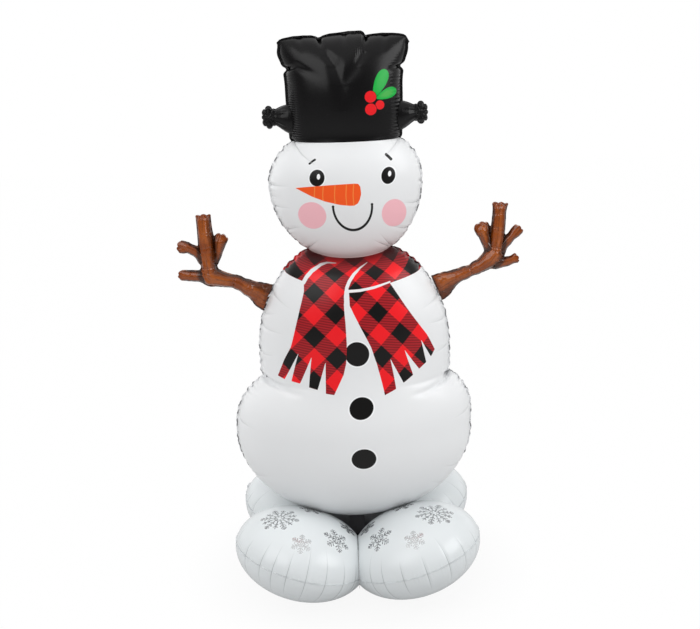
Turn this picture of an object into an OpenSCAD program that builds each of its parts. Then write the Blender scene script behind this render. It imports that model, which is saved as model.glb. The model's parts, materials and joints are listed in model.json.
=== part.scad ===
// Standing air-filled foil snowman: a hat, head, torso and belly blown up between two film panels,
// two twig hands sealed to the side seam, and a cross-shaped foot of four tilted cushions.
// Frame: millimetres, +Z up, front faces -Y, origin on the floor below the middle of the foot.
// The film is far thinner than can be drawn; foil_t is the wall that stands in for it.

/* [Belly] */
// Width of the belly across its side seams
belly_w = 602; // [560:1:640]
// Height of the belly from its closed bottom to the waist
belly_h = 386; // [350:1:420]
// Height of the belly's widest line above its closed bottom
belly_mid = 245; // [220:1:260]
// Height of the upright band on the widest line, where the valve sits
belly_band = 30; // [28:1:36]
// Width of the flat closure under the belly
belly_flat = 84; // [60:1:120]
// How square the belly's upper outline is, 2 being an ellipse
belly_power = 2.3; // [2:0.1:2.6]

/* [Torso] */
// Width of the waist
waist_w = 472; // [430:1:480]
// Width of the torso across its side seams
torso_w = 484; // [482:1:520]
// Height of the torso from the waist to the neck
torso_h = 328; // [300:1:350]
// Height of the torso's widest line above the waist
torso_mid = 70; // [50:1:100]
// How square the torso's outline is, 2 being an ellipse
torso_power = 2.2; // [2:0.1:2.6]

/* [Head] */
// Width of the neck
neck_w = 206; // [180:1:240]
// Width of the head across its side seams
head_w = 368; // [340:1:400]
// Height of the head from the neck to the brow
head_h = 268; // [240:1:290]
// Height of the head's widest line above the neck
head_mid = 168; // [150:1:184]

/* [Hat] */
// Width of the brow, where the head meets the hat
brow_w = 262; // [240:1:290]
// Width of the hat half way up
hat_w = 272; // [250:1:300]
// Width of the hat at its flat top seam
hat_top_w = 300; // [280:1:330]
// Height of the hat from the brow to the top of its seam
hat_h = 253; // [230:1:280]
// Depth of the hat at its thickest
hat_d = 178; // [150:1:210]
// Span of the brim from tip to tip
brim_span = 402; // [360:1:440]
// Height of each brim stub
brim_h = 64; // [50:1:80]
// Height of the brim's middle line above the brow
brim_z = 56; // [42:1:64]
// Depth of each brim stub
brim_d = 40; // [24:1:60]

/* [Film] */
// Depth of the blown-up figure as a share of its width
puff = 0.6; // [0.5:0.01:0.68]
// Wall that stands in for the film
foil_t = 1; // [0.6:0.1:1.4]
// Width of the sealed margin round each panel
seam_w = 6; // [4:0.5:9]
// Thickness of one panel's sealed margin
seam_t = 1; // [0.6:0.1:1.4]

/* [Foot] */
// Radius of one cushion in its seam plane
lobe_r = 168; // [158:1:176]
// Half thickness of one cushion
lobe_half = 108; // [98:1:116]
// Distance of a cushion's middle from each centre plane
lobe_off = 144; // [138:1:152]
// Depth of the cushion that the floor presses flat
lobe_press = 8; // [4:0.5:12]
// Sideways tilt of a cushion, outer side up
lobe_roll = 16.3; // [10:0.1:22]
// Front to back tilt of a cushion, outer side up
lobe_pitch = 4.9; // [0.5:0.1:10]
// Thickness of the adhesive web between the cushions
web_t = 0.6; // [0.4:0.1:1.2]
// Reach of the web from the middle of the foot
web_l = 205; // [180:1:215]
// Height of the web
web_h = 50; // [36:1:56]
// Width of the strap that ties the belly to the web
strap_w = 40; // [24:1:60]
// Thickness of the strap
strap_t = 0.8; // [0.6:0.1:1.6]

/* [Hands] */
// Height of the middle of a hand's root above the closed bottom of the belly
root_z = 591; // [560:1:620]
// Length of a hand's sealed root
root_l = 73; // [60:1:84]
// Diameter of the blown-up wrist
wrist_d = 40; // [32:1:46]
// Diameter of the blown-up palm
palm_d = 52; // [44:1:58]
// Diameter of the long finger
long_d = 36; // [30:1:42]
// Diameter of the short fingers
short_d = 26; // [20:1:30]
// Height that the long finger reaches above the middle of the root
hand_h = 210; // [185:1:230]
// Distance that the outer fingers reach beyond the middle of the root
hand_w = 180; // [165:1:200]

/* [Valves] */
// Width of a valve tail
tail_w = 20; // [14:1:26]
// Length of a valve tail
tail_l = 72; // [50:1:90]
// Thickness of a valve tail
tail_t = 0.8; // [0.6:0.1:1.2]
// Width of the valve patch and of the one-way sleeve behind it
patch_w = 40; // [30:1:48]
// Height of the valve patch and of the one-way sleeve behind it
patch_h = 26; // [20:1:28]

/* [Hidden] */

WHITE = [0.93, 0.94, 0.96];
BLACK = [0.05, 0.05, 0.06];
BROWN = [0.45, 0.23, 0.12];
CLEAR = [0.8, 0.84, 0.88];

ARC = 17;                 // facets across one panel; odd, so the middle one lies flat
LOBE_ARC = 24;            // facets over half a cushion's profile
RING = 12;                // facets round a finger
CLEAR_GAP = 0.4;          // air kept between pieces that only rest or pass
HINGE_GAP = 1.2;          // room round a film hinge line
ROOT_GAP = 0.3;           // from a hand's hinge line to the edge of its root

z_waist = belly_h;
z_neck = z_waist + torso_h;
z_brow = z_neck + head_h;
z_top = z_brow + hat_h;

// Share of full width left at distance dz from the widest line of an arch of height c
function arch(dz, c, p) = pow(1 - pow(min(1, max(0, dz / c)), p), 1 / p);
// Height of the arch that has narrowed from a to w at distance dz
function reach(dz, w, a, p) = dz / pow(1 - pow(w / a, p), 1 / p);
// Half width of a chamber at height z; a chamber is never narrower than the necks at its two ends
function zone(z, mid, band, wide, low_z, low_w, low_p, high_z, high_w, high_p) =
    let (a = max(wide, 1.01 * low_w, 1.01 * high_w))
    z < mid
    ? a * arch(mid - band - z, reach(mid - band - low_z, low_w, a, low_p), low_p)
    : a * arch(z - mid - band, reach(high_z - mid - band, high_w, a, high_p), high_p);

function belly_half(z) = zone(z, belly_mid, belly_band / 2, belly_w / 2, 0, belly_flat / 2, 2,
    belly_h, waist_w / 2, belly_power);
function torso_half(z) = zone(z, z_waist + torso_mid, 0, torso_w / 2, z_waist, waist_w / 2, 2,
    z_neck, neck_w / 2, torso_power);
function head_half(z) = zone(z, z_neck + head_mid, 0, head_w / 2, z_neck, neck_w / 2, 2,
    z_brow, brow_w / 2, 2);
function hat_half(z) = let (s = (z - z_brow) / hat_h)
    s < 0.5
    ? hat_w / 2 + (brow_w - hat_w) / 2 * pow(1 - 2 * s, 2)
    : hat_w / 2 + (hat_top_w - hat_w) / 2 * pow(2 * s - 1, 1.4);
hat_thick_z = z_brow + 0.4 * hat_h;
function hat_depth(z) = z < hat_thick_z
    ? hat_d / 2 + (puff * brow_w / 2 - hat_d / 2) * pow((hat_thick_z - z) / (hat_thick_z - z_brow), 2)
    : hat_d / 2 * arch(z - hat_thick_z, z_top - seam_w - hat_thick_z, 2);

// One level of a panel: height, half width, half depth, outer edge, depth at the margin, 1 if hollow
function level(z, w, d, hollow = 1) = [z, w, d, w + seam_w, seam_t, hollow];
function brim_level(z) = let (
        s = abs(z - z_brow - brim_z) / (brim_h / 2),
        w = hat_half(z)
    )
    [z, w, hat_depth(z), w + seam_w + (brim_span / 2 - w - seam_w) * min(1, 6 * (1 - s)),
        max(seam_t, brim_d / 2 * arch(s, 1, 2)), 1];

belly_levels = concat(
    [level(0, belly_half(0), puff * belly_half(0), 0)],
    [level(foil_t * 0.7, belly_half(0), puff * belly_half(0), 0)],
    [level(foil_t, belly_half(foil_t), puff * belly_half(foil_t))],
    [for (a = [22, 36, 50, 64, 78]) let (z = (belly_mid - belly_band / 2) * (1 - cos(a)) / 0.99)
        level(z, belly_half(z), puff * belly_half(z))],
    [for (z = [belly_mid - belly_band / 2, belly_mid + belly_band / 2])
        level(z, belly_w / 2, puff * belly_w / 2)],
    [for (s = [0.35, 0.6, 0.8, 1])
        let (z = belly_mid + belly_band / 2 + s * (belly_h - belly_mid - belly_band / 2))
        level(z, belly_half(z), puff * belly_half(z))]
);
torso_levels = [for (s = [0, 0.1, 0.22, 0.4, 0.56, 0.7, 0.82, 0.92, 1])
    let (z = z_waist + s * torso_h) level(z, torso_half(z), puff * torso_half(z))];
head_levels = [for (s = [0, 0.07, 0.17, 0.31, 0.47, 0.63, 0.79, 0.91, 1])
    let (z = z_neck + s * head_h) level(z, head_half(z), puff * head_half(z))];
hat_levels = concat(
    [for (z = [z_brow, z_brow + (brim_z - brim_h / 2) / 2]) level(z, hat_half(z), hat_depth(z))],
    [for (s = [-1, -0.85, -0.5, 0, 0.5, 0.85, 1]) brim_level(z_brow + brim_z + s * brim_h / 2)],
    [for (a = [20, 38, 54, 68, 80])
        let (low = z_brow + brim_z + brim_h / 2, z = low + (z_top - seam_w - low) * sin(a))
        level(z, hat_half(z), hat_depth(z))],
    [for (z = [z_top - seam_w, z_top]) level(z, hat_half(z), seam_t, 0)]
);

function skin(l) = let (m = (l[1] + l[3]) / 2) concat(
    [[-l[3], seam_t], [-m, l[4]]],
    [for (j = [0 : ARC]) [-l[1] * cos(180 * j / ARC), max(seam_t, l[2] * sin(180 * j / ARC))]],
    [[m, l[4]], [l[3], seam_t]]
);
function lining(l) = let (m = (l[1] + l[3]) / 2, w = l[1] - foil_t, d = max(0, l[2] - foil_t)) concat(
    [[-l[3], 0], [-m, l[5] * max(0, l[4] - seam_t - foil_t)]],
    [for (j = [0 : ARC]) [-w * cos(180 * j / ARC), l[5] * d * sin(180 * j / ARC)]],
    [[m, l[5] * max(0, l[4] - seam_t - foil_t)], [l[3], 0]]
);

// Back panel of one chamber: the hollow loft between a chamber's levels, on the +Y side of the seam plane
module back_panel(levels) {
    m = ARC + 5;
    n = len(levels);
    points = [for (l = levels) each concat(
        [for (q = skin(l)) [q[0], q[1], l[0]]],
        [for (q = lining(l)) [q[0], q[1], l[0]]]
    )];
    function at(i, j) = i * 2 * m + j;
    sides = [for (i = [0 : n - 2]) each concat(
        [for (j = [0 : m - 2]) each [
            [at(i, j), at(i, j + 1), at(i + 1, j + 1)], [at(i, j), at(i + 1, j + 1), at(i + 1, j)],
            [at(i, m + j), at(i + 1, m + j + 1), at(i, m + j + 1)],
            [at(i, m + j), at(i + 1, m + j), at(i + 1, m + j + 1)]
        ]],
        [
            [at(i, 0), at(i + 1, 0), at(i + 1, m)], [at(i, 0), at(i + 1, m), at(i, m)],
            [at(i, m - 1), at(i + 1, 2 * m - 1), at(i + 1, m - 1)],
            [at(i, m - 1), at(i, 2 * m - 1), at(i + 1, 2 * m - 1)]
        ]
    )];
    ends = [for (j = [0 : m - 2]) each [
        [at(0, j), at(0, m + j), at(0, m + j + 1)], [at(0, j), at(0, m + j + 1), at(0, j + 1)],
        [at(n - 1, j), at(n - 1, m + j + 1), at(n - 1, m + j)],
        [at(n - 1, j), at(n - 1, j + 1), at(n - 1, m + j + 1)]
    ]];
    polyhedron(points, concat(sides, ends), convexity = 6);
}

// The foot's cushions

lobe_tilt = atan(norm([tan(lobe_roll), tan(lobe_pitch)]));
lobe_turn = atan2(tan(lobe_pitch), tan(lobe_roll));
lobe_z = norm([lobe_half * cos(lobe_tilt), lobe_r * sin(lobe_tilt)]) - lobe_press;
web_z = lobe_z - lobe_off * tan(lobe_roll) - web_h / 2;

// Height of a cushion's upper surface at (x, y), or the floor where the cushion doesn't reach
function lobe_top(x, y) = let (
        u = (x - lobe_off) * cos(lobe_turn) + (y - lobe_off) * sin(lobe_turn),
        v = (y - lobe_off) * cos(lobe_turn) - (x - lobe_off) * sin(lobe_turn),
        c = cos(lobe_tilt),
        s = sin(lobe_tilt),
        r2 = lobe_r * lobe_r,
        h2 = lobe_half * lobe_half,
        qa = s * s / r2 + c * c / h2,
        qb = 2 * u * s * c * (1 / r2 - 1 / h2),
        qc = u * u * (c * c / r2 + s * s / h2) + v * v / r2 - 1,
        disc = qb * qb - 4 * qa * qc
    )
    disc > 0 ? lobe_z + (-qb + sqrt(disc)) / (2 * qa) : 0;

// The figure is lowered until its belly all but touches the cushions
seat_z = CLEAR_GAP + max([for (z = [0 : 8 : belly_mid]) for (a = [0 : 5 : 90])
    let (x = (belly_half(z) + (a == 0 ? seam_w : 0)) * cos(a))
    lobe_top(x, max(seam_t, puff * belly_half(z) * sin(a))) - z]);

module lobe_frame(sx, sy) {
    translate([sx * lobe_off, sy * lobe_off, lobe_z])
        rotate([0, 0, atan2(sy * tan(lobe_pitch), sx * tan(lobe_roll))])
            rotate([0, -lobe_tilt, 0])
                children();
}

module spheroid(r, h) {
    rotate_extrude($fn = 96)
        polygon([for (i = [0 : LOBE_ARC]) let (a = -90 + 180 * i / LOBE_ARC)
            [max(0, r * cos(a)), h * sin(a)]]);
}

// The corner of space that one cushion may fill, drawn in by a distance on its three flat sides
module quadrant(sx, sy, inset) {
    big = 2 * (lobe_off + lobe_r);
    scale_x = sx > 0 ? web_t / 2 + inset : -web_t / 2 - inset - big;
    scale_y = sy > 0 ? web_t / 2 + inset : -web_t / 2 - inset - big;
    translate([scale_x, scale_y, inset])
        cube([big, big, big]);
}

// side is 1 for the film above the seam and -1 for the film below it
module lobe_film(sx, sy, side) {
    big = 3 * lobe_r;
    difference() {
        intersection() {
            lobe_frame(sx, sy)
                union() {
                    intersection() {
                        spheroid(lobe_r, lobe_half);
                        translate([-big / 2, -big / 2, side > 0 ? 0 : -big])
                            cube(big);
                    }
                    translate([0, 0, side > 0 ? 0 : -seam_t])
                        cylinder(r = lobe_r + seam_w, h = seam_t, $fn = 96);
                }
            quadrant(sx, sy, 0);
        }
        intersection() {
            lobe_frame(sx, sy)
                spheroid(lobe_r - foil_t, lobe_half - foil_t);
            quadrant(sx, sy, foil_t);
        }
    }
}

// The hands, drawn for the +X side in the seam plane

root_slope = (torso_half(root_z + root_l / 4) - torso_half(root_z - root_l / 4)) / (root_l / 2);
root_lean = atan(root_slope);
root_x = torso_half(root_z) + seam_w / cos(root_lean) + HINGE_GAP + ROOT_GAP;
root_half = seam_t / 2;

// Station: distance out from the root's middle, height above it, half width, half depth
function round_at(p, d) = [p[0], p[1], d / 2, d / 2];
function flat_at(p, d) = [p[0], p[1], d * PI / 4, seam_t];
palm = [hand_w * 0.63, hand_h * 0.314];
// A point beside the palm's line, as shares of the hand's two reaches
function beside(out, up) = [palm[0] + out * hand_w, up * hand_h];
stem = [
    [0, 0, root_l / 2, root_half],
    [seam_w * cos(root_lean), -seam_w * sin(root_lean), root_l / 2 * 0.96, root_half],
    [hand_w * 0.1, hand_h * 0.05, root_l / 2 * 0.82, wrist_d * 0.24],
    [hand_w * 0.244, hand_h * 0.138, wrist_d / 2 * 1.05, wrist_d / 2],
    [hand_w * 0.489, hand_h * 0.21, wrist_d / 2 * 1.1, wrist_d / 2],
    [palm[0] - hand_w * 0.033, palm[1] - hand_h * 0.02, palm_d / 2, palm_d / 2 * 0.92],
    round_at(beside(0.056, 0.533), long_d * 1.12),
    round_at(beside(0.1, 0.838), long_d * 0.92),
    flat_at(beside(0.122, 1), long_d * 0.66)
];
inner_finger = [
    round_at(beside(0.044, 0.495), short_d),
    round_at(beside(-0.078, 0.629), short_d * 0.86),
    flat_at(beside(-0.167, 0.752), short_d * 0.62)
];
upper_finger = [
    round_at(beside(0.022, 0.4), short_d * 1.3),
    round_at(beside(0.244, 0.543), short_d),
    flat_at(beside(0.47, 0.657), short_d * 0.82)
];
lower_finger = [
    round_at(beside(-0.044, 0.276), short_d * 1.4),
    round_at(beside(0.222, 0.286), short_d),
    flat_at(beside(0.426, 0.314), short_d * 0.76)
];
limbs = [stem, inner_finger, upper_finger, lower_finger];

// Ring of points round a tube at one of its stations, square to the tube's run. An early ring stands
// back along the run and is a little smaller, so that a length of tube starts inside the one before it
function ring(list, i, shrink, early = 0) = let (
        s = list[i],
        a = list[max(0, i - 1)],
        b = list[min(len(list) - 1, i + 1)],
        heading = s[3] == root_half ? 90 + root_lean : atan2(b[0] - a[0], b[1] - a[1]),
        fit = 1 - early / 80
    )
    [for (k = [0 : RING - 1]) let (u = fit * (s[2] - shrink) * cos(360 * k / RING), v = -early * seam_w / 3)
        [
            s[0] + u * cos(heading) + v * sin(heading),
            fit * (s[3] - shrink) * sin(360 * k / RING),
            s[1] - u * sin(heading) + v * cos(heading)
        ]];

// Film tube through the stations; a shrunk one leaves out the flat sealed ends
module limb(list, shrink) {
    keep = [for (i = [0 : len(list) - 1]) if (shrink == 0 || list[i][3] > 2 * seam_t + shrink) i];
    sides = [for (k = [0 : RING - 1]) let (n = (k + 1) % RING) [k, n, RING + n, RING + k]];
    ends = [[for (k = [RING - 1 : -1 : 0]) k], [for (k = [0 : RING - 1]) RING + k]];
    for (i = [0 : len(keep) - 2])
        hull()
            polyhedron(
                concat(ring(list, keep[i], shrink, min(i, 1)), ring(list, keep[i + 1], shrink)),
                concat(sides, ends)
            );
}

// side is -1 for the front panel and 1 for the back panel
module hand_film(side) {
    big = 4 * hand_w;
    translate([root_x, 0, seat_z + root_z])
        intersection() {
            difference() {
                for (l = limbs)
                    limb(l, 0);
                for (l = limbs)
                    limb(l, foil_t);
            }
            translate([-big / 2, side > 0 ? 0 : -big, -big / 2])
                cube(big);
        }
}

// Strip of tape behind the seam margin that carries a hand's root and ends on its hinge line
module seal_strip() {
    translate([root_x, seam_t, seat_z + root_z])
        rotate([0, root_lean, 0])
            translate([-HINGE_GAP - ROOT_GAP - seam_w * 0.8, 0, -root_l / 2])
                cube([seam_w * 0.8 + HINGE_GAP, tail_t, root_l]);
}

// Valves

patch_y = puff * belly_w / 2 * cos(90 / ARC);
sleeve_y = (puff * belly_w / 2 - foil_t) * cos(90 / ARC);
patch_t = tail_t + 0.6;
tail_hinge_z = seat_z + belly_mid - patch_h / 2 - HINGE_GAP;
collar_r = lobe_r + seam_w + 2;
// Hinge line of the foot's valve tail: distance out from the cushion's middle and height above it
collar_hinge = [
    (collar_r + HINGE_GAP) * cos(lobe_tilt) - (seam_t + tail_t / 2) * sin(lobe_tilt),
    (collar_r + HINGE_GAP) * sin(lobe_tilt) + (seam_t + tail_t / 2) * cos(lobe_tilt)
];

// The hanging tail, its hinge line through the origin along X, its outer face towards +Y
module tail() {
    translate([-tail_w / 2, -tail_t / 2, -tail_l - HINGE_GAP / 2])
        cube([tail_w, tail_t, tail_l]);
}

module on_figure() {
    translate([0, 0, seat_z])
        children();
}

module front_panel(levels) {
    mirror([0, 1, 0])
        back_panel(levels);
}

module hat_front_foil() { color(BLACK) on_figure() front_panel(hat_levels); }
module hat_back_foil() { color(BLACK) on_figure() back_panel(hat_levels); }
module head_front_foil() { color(WHITE) on_figure() front_panel(head_levels); }
module head_back_foil() { color(WHITE) on_figure() back_panel(head_levels); }
module torso_front_foil() { color(WHITE) on_figure() front_panel(torso_levels); }
module torso_back_foil() { color(WHITE) on_figure() back_panel(torso_levels); }
module belly_front_foil() { color(WHITE) on_figure() front_panel(belly_levels); }
module belly_back_foil() { color(WHITE) on_figure() back_panel(belly_levels); }

module right_arm_front_foil() { color(BROWN) hand_film(-1); }
module right_arm_back_foil() { color(BROWN) hand_film(1); }
module left_arm_front_foil() { color(BROWN) mirror([1, 0, 0]) hand_film(-1); }
module left_arm_back_foil() { color(BROWN) mirror([1, 0, 0]) hand_film(1); }
module right_arm_seal_strip() { color(CLEAR) seal_strip(); }
module left_arm_seal_strip() { color(CLEAR) mirror([1, 0, 0]) seal_strip(); }

module front_left_lobe_top() { color(WHITE) lobe_film(-1, -1, 1); }
module front_left_lobe_bottom() { color(WHITE) lobe_film(-1, -1, -1); }
module front_right_lobe_top() { color(WHITE) lobe_film(1, -1, 1); }
module front_right_lobe_bottom() { color(WHITE) lobe_film(1, -1, -1); }
module rear_left_lobe_top() { color(WHITE) lobe_film(-1, 1, 1); }
module rear_left_lobe_bottom() { color(WHITE) lobe_film(-1, 1, -1); }
module rear_right_lobe_top() { color(WHITE) lobe_film(1, 1, 1); }
module rear_right_lobe_bottom() { color(WHITE) lobe_film(1, 1, -1); }

module base_web() {
    color(CLEAR)
        union() {
            translate([-web_l, -web_t / 2, web_z])
                cube([2 * web_l, web_t, web_h]);
            translate([-web_t / 2, -web_l, web_z])
                cube([web_t, 2 * web_l, web_h]);
        }
}

module anchor_strap() {
    color(CLEAR)
        translate([-strap_w / 2, -strap_t / 2, web_z + web_h])
            cube([strap_w, strap_t, seat_z - web_z - web_h]);
}

module figure_valve_patch() {
    color(CLEAR)
        on_figure()
            translate([-patch_w / 2, patch_y, belly_mid - patch_h / 2])
                cube([patch_w, patch_t, patch_h]);
}

module figure_valve_sleeve() {
    color(CLEAR)
        on_figure()
            translate([-patch_w / 2, sleeve_y - tail_t, belly_mid - patch_h / 2])
                cube([patch_w, tail_t, patch_h]);
}

module figure_valve_tail() {
    color(CLEAR)
        translate([0, patch_y + 1, tail_hinge_z])
            tail();
}

module base_valve_collar() {
    color(CLEAR)
        lobe_frame(-1, 1)
            translate([lobe_r + 0.8, -tail_w / 2, seam_t])
                cube([collar_r - lobe_r - 0.8, tail_w, tail_t]);
}

module base_valve_tail() {
    color(CLEAR)
        translate([-lobe_off, lobe_off, lobe_z])
            rotate([0, 0, 180 - lobe_turn])
                translate([collar_hinge[0], 0, collar_hinge[1]])
                    rotate([0, 0, -90])
                        tail();
}

hat_front_foil();
hat_back_foil();
head_front_foil();
head_back_foil();
torso_front_foil();
torso_back_foil();
belly_front_foil();
belly_back_foil();
left_arm_front_foil();
left_arm_back_foil();
right_arm_front_foil();
right_arm_back_foil();
left_arm_seal_strip();
right_arm_seal_strip();
front_left_lobe_top();
front_left_lobe_bottom();
front_right_lobe_top();
front_right_lobe_bottom();
rear_left_lobe_top();
rear_left_lobe_bottom();
rear_right_lobe_top();
rear_right_lobe_bottom();
base_web();
anchor_strap();
figure_valve_patch();
figure_valve_sleeve();
figure_valve_tail();
base_valve_collar();
base_valve_tail();
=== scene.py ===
"""Standing foil snowman: film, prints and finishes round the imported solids.

The chambers are grids of points that are first laid on the solids' smooth surface and then settled:
the film is a little longer along its seams than the blown-up shape has room for, so it folds there.
"""

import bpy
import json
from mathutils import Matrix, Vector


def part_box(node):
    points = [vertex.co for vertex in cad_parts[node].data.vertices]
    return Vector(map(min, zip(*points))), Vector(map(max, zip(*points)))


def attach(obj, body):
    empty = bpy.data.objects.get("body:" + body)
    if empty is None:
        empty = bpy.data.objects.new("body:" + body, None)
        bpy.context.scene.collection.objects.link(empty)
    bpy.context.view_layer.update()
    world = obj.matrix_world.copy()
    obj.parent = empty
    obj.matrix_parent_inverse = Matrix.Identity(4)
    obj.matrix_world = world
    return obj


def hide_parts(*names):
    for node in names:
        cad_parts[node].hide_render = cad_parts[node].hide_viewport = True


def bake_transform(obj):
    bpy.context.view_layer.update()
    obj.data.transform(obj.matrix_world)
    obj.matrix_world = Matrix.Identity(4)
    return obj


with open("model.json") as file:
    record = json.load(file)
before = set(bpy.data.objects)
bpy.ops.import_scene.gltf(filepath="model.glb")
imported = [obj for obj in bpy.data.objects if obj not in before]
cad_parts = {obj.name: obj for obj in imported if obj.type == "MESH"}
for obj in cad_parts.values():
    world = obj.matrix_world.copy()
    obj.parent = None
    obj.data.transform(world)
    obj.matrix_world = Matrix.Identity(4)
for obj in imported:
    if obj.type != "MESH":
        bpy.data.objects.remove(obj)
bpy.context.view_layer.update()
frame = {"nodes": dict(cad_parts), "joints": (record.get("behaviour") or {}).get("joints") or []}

import json
import math
from functools import reduce

import bpy
import numpy as np
from bpy.props import FloatProperty, FloatVectorProperty, PointerProperty
from mathutils import Matrix, Vector

bl_info = {
    "name": "Standing foil snowman",
    "version": (1, 0, 0),
    "blender": (4, 5, 0),
    "location": "View3D > Sidebar > Snowman",
    "description": "Dresses the snowman's solids with settled film, prints and a studio stage",
    "category": "Object",
}

MM = 0.001
TAU = 2 * math.pi
SIDES = (("left", -1), ("right", 1))


def length(name, words, default):
    return FloatProperty(name=name, description=words, default=default, unit="LENGTH", subtype="DISTANCE")


def colour(name, words, default):
    return FloatVectorProperty(name=name, description=words, default=default, size=3, subtype="COLOR",
                               min=0, max=1)


def node_low(node):
    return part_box(node)[0]


def node_high(node):
    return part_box(node)[1]


SEAM = 6 * MM
SEAT = node_low("belly_front_foil").z
WAIST = node_high("belly_front_foil").z
NECK = node_high("torso_front_foil").z
BROW = node_high("head_front_foil").z
TOP = node_high("hat_front_foil").z


def film_width(node):
    return 2 * (node_high(node).x - SEAM)


class SnowmanSizes(bpy.types.PropertyGroup):
    """Sizes of the blown-up figure, equal to the solids'"""

    belly_w: length("Belly width", "Widest part of the belly, seam to seam", film_width("belly_front_foil"))
    belly_mid: length("Belly middle", "Height of the belly's widest band", SEAT + 245 * MM)
    belly_foot: length("Belly foot", "Width of the belly's flat foot", 84 * MM)
    waist_w: length("Waist width", "Width between belly and torso", 472 * MM)
    torso_w: length("Torso width", "Widest part of the torso", film_width("torso_front_foil"))
    torso_mid: length("Torso middle", "Height of the torso's widest line", WAIST + 70 * MM)
    neck_w: length("Neck width", "Width between torso and head", 206 * MM)
    head_w: length("Head width", "Widest part of the head", film_width("head_front_foil"))
    head_mid: length("Head middle", "Height of the head's widest line", NECK + 168 * MM)
    brow_w: length("Brow width", "Width between head and hat", 262 * MM)
    hat_w: length("Hat width", "Width halfway up the hat", 272 * MM)
    hat_top_w: length("Hat top width", "Width of the hat's top seam", 300 * MM)
    hat_d: length("Hat depth", "Depth of the hat where it is fullest", 178 * MM)
    puff: FloatProperty(name="Puff", description="Depth of a chamber as a share of its width", default=0.6,
                        min=0.3, max=1)
    lobe_r: length("Foot cushion radius", "Seam radius of one foot cushion", 171 * MM)
    lobe_half: length("Foot cushion half height", "From its seam to its top", 106 * MM)
    lobe_off: length("Foot cushion offset", "From the middle of the foot to a cushion's middle", 144 * MM)
    step: length("Row step", "Distance between rows of film points", 4.5 * MM)


class SnowmanColours(bpy.types.PropertyGroup):
    """Colours of the film and its prints"""

    snow: colour("Snow", "White film", (0.83, 0.84, 0.85))
    hat: colour("Hat", "Black film", (0.0036, 0.0033, 0.0037))
    bark: colour("Bark", "Brown film of the hands", (0.245, 0.047, 0.003))
    # bark_dark is also laid at the stubs' bases as painted shade
    bark_dark: colour("Bark edge", "Dark print along the hands' edges", (0.030, 0.008, 0.003))
    scarf: colour("Scarf red", "Bright red of the scarf", (0.90, 0.011, 0.017))
    scarf_dark: colour("Scarf dark red", "Single stripes of the scarf", (0.42, 0.014, 0.02))
    ink: colour("Ink", "Black print", (0.006, 0.0055, 0.0055))
    carrot: colour("Carrot", "Orange of the nose", (0.93, 0.10, 0.012))
    cheek: colour("Cheek", "Pink of the cheeks", (0.92, 0.50, 0.55))
    holly: colour("Holly", "Green of the leaves", (0.006, 0.42, 0.055))
    silver: colour("Silver", "Bare foil of the snowflakes", (0.80, 0.82, 0.83))


# Shape of the figure

def bell(v, reach):
    """1 at zero, falling off to both sides within a reach in millimetres."""
    return np.exp(-(v / (reach * MM)) ** 2)


def fade_out(v, reach):
    """1 at zero, falling off above it within a reach in millimetres."""
    return np.exp(-v / (reach * MM))


def smooth_step(t):
    return t * t * (3 - 2 * t)


def arch(rise, height, power):
    """Share of the full width left at a rise above the widest line: (1 - (rise / height)^p)^(1 / p)."""
    return (1 - np.clip(rise / height, 0, 1) ** power) ** (1 / power)


def chamber(z, mid, band, wide, low, high):
    """Half width of a chamber: full over a band round its middle, and arched down to the neck (height, half
    width, power) that it has below and the one that it has above."""
    def side(rise, end, neck, power):
        return wide * arch(rise, end / (1 - (neck / wide) ** power) ** (1 / power), power)
    return np.where(z < mid, side(mid - band - z, mid - band - low[0], low[1], low[2]),
                    side(z - mid - band, high[0] - mid - band, high[1], high[2]))


def figure_half(s, z):
    """Half width of the figure at height z, chamber by chamber."""
    belly = chamber(z, s.belly_mid, 15 * MM, s.belly_w / 2, (SEAT, s.belly_foot / 2, 2),
                    (WAIST, s.waist_w / 2, 2.3))
    torso = chamber(z, s.torso_mid, 0, s.torso_w / 2, (WAIST, s.waist_w / 2, 2), (NECK, s.neck_w / 2, 2.2))
    head = chamber(z, s.head_mid, 0, s.head_w / 2, (NECK, s.neck_w / 2, 2), (BROW, s.brow_w / 2, 2))
    share = (z - BROW) / (TOP - BROW)
    low = (s.brow_w - s.hat_w) / 2 * np.clip(1 - 2 * share, 0, None) ** 2
    high = (s.hat_top_w - s.hat_w) / 2 * np.clip(2 * share - 1, 0, None) ** 1.4
    return np.select([z < WAIST, z < NECK, z < BROW], [belly, torso, head], s.hat_w / 2 + low + high)


# Where the film spans a neck in the middle: height, reach and smoothing in millimetres
SPANNED = ((WAIST, 120, 55), (BROW, 34, 15))


def figure_depth(s, z):
    """Half depth of the figure over even steps of z: puff times the half width, and an arch down to the top
    seam on the hat. Given twice: as it is towards the sides, and smoothed over the waist and the brow, as the
    film spans them in the middle."""
    thick = BROW + 0.4 * (TOP - BROW)
    below = s.puff * s.brow_w / 2 - s.hat_d / 2
    below = s.hat_d / 2 + below * np.clip((thick - z) / (thick - BROW), 0, 1) ** 2
    hat = np.where(z < thick, below, s.hat_d / 2 * arch(z - thick, TOP - SEAM - thick, 2))
    sides = np.where(z < BROW, s.puff * figure_half(s, z), hat)
    middle = sides
    pitch = z[1] - z[0]
    for level, reach, spread in SPANNED:
        spread = spread * MM
        kernel = np.exp(-0.5 * (np.arange(-3 * spread, 3 * spread, pitch) / spread) ** 2)
        padded = np.pad(middle, len(kernel), "edge")
        smooth = np.convolve(padded, kernel / kernel.sum(), "same")[len(kernel):-len(kernel)]
        share = bell(z - level, reach)
        middle = middle * (1 - share) + smooth * share
    return sides, middle


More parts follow.
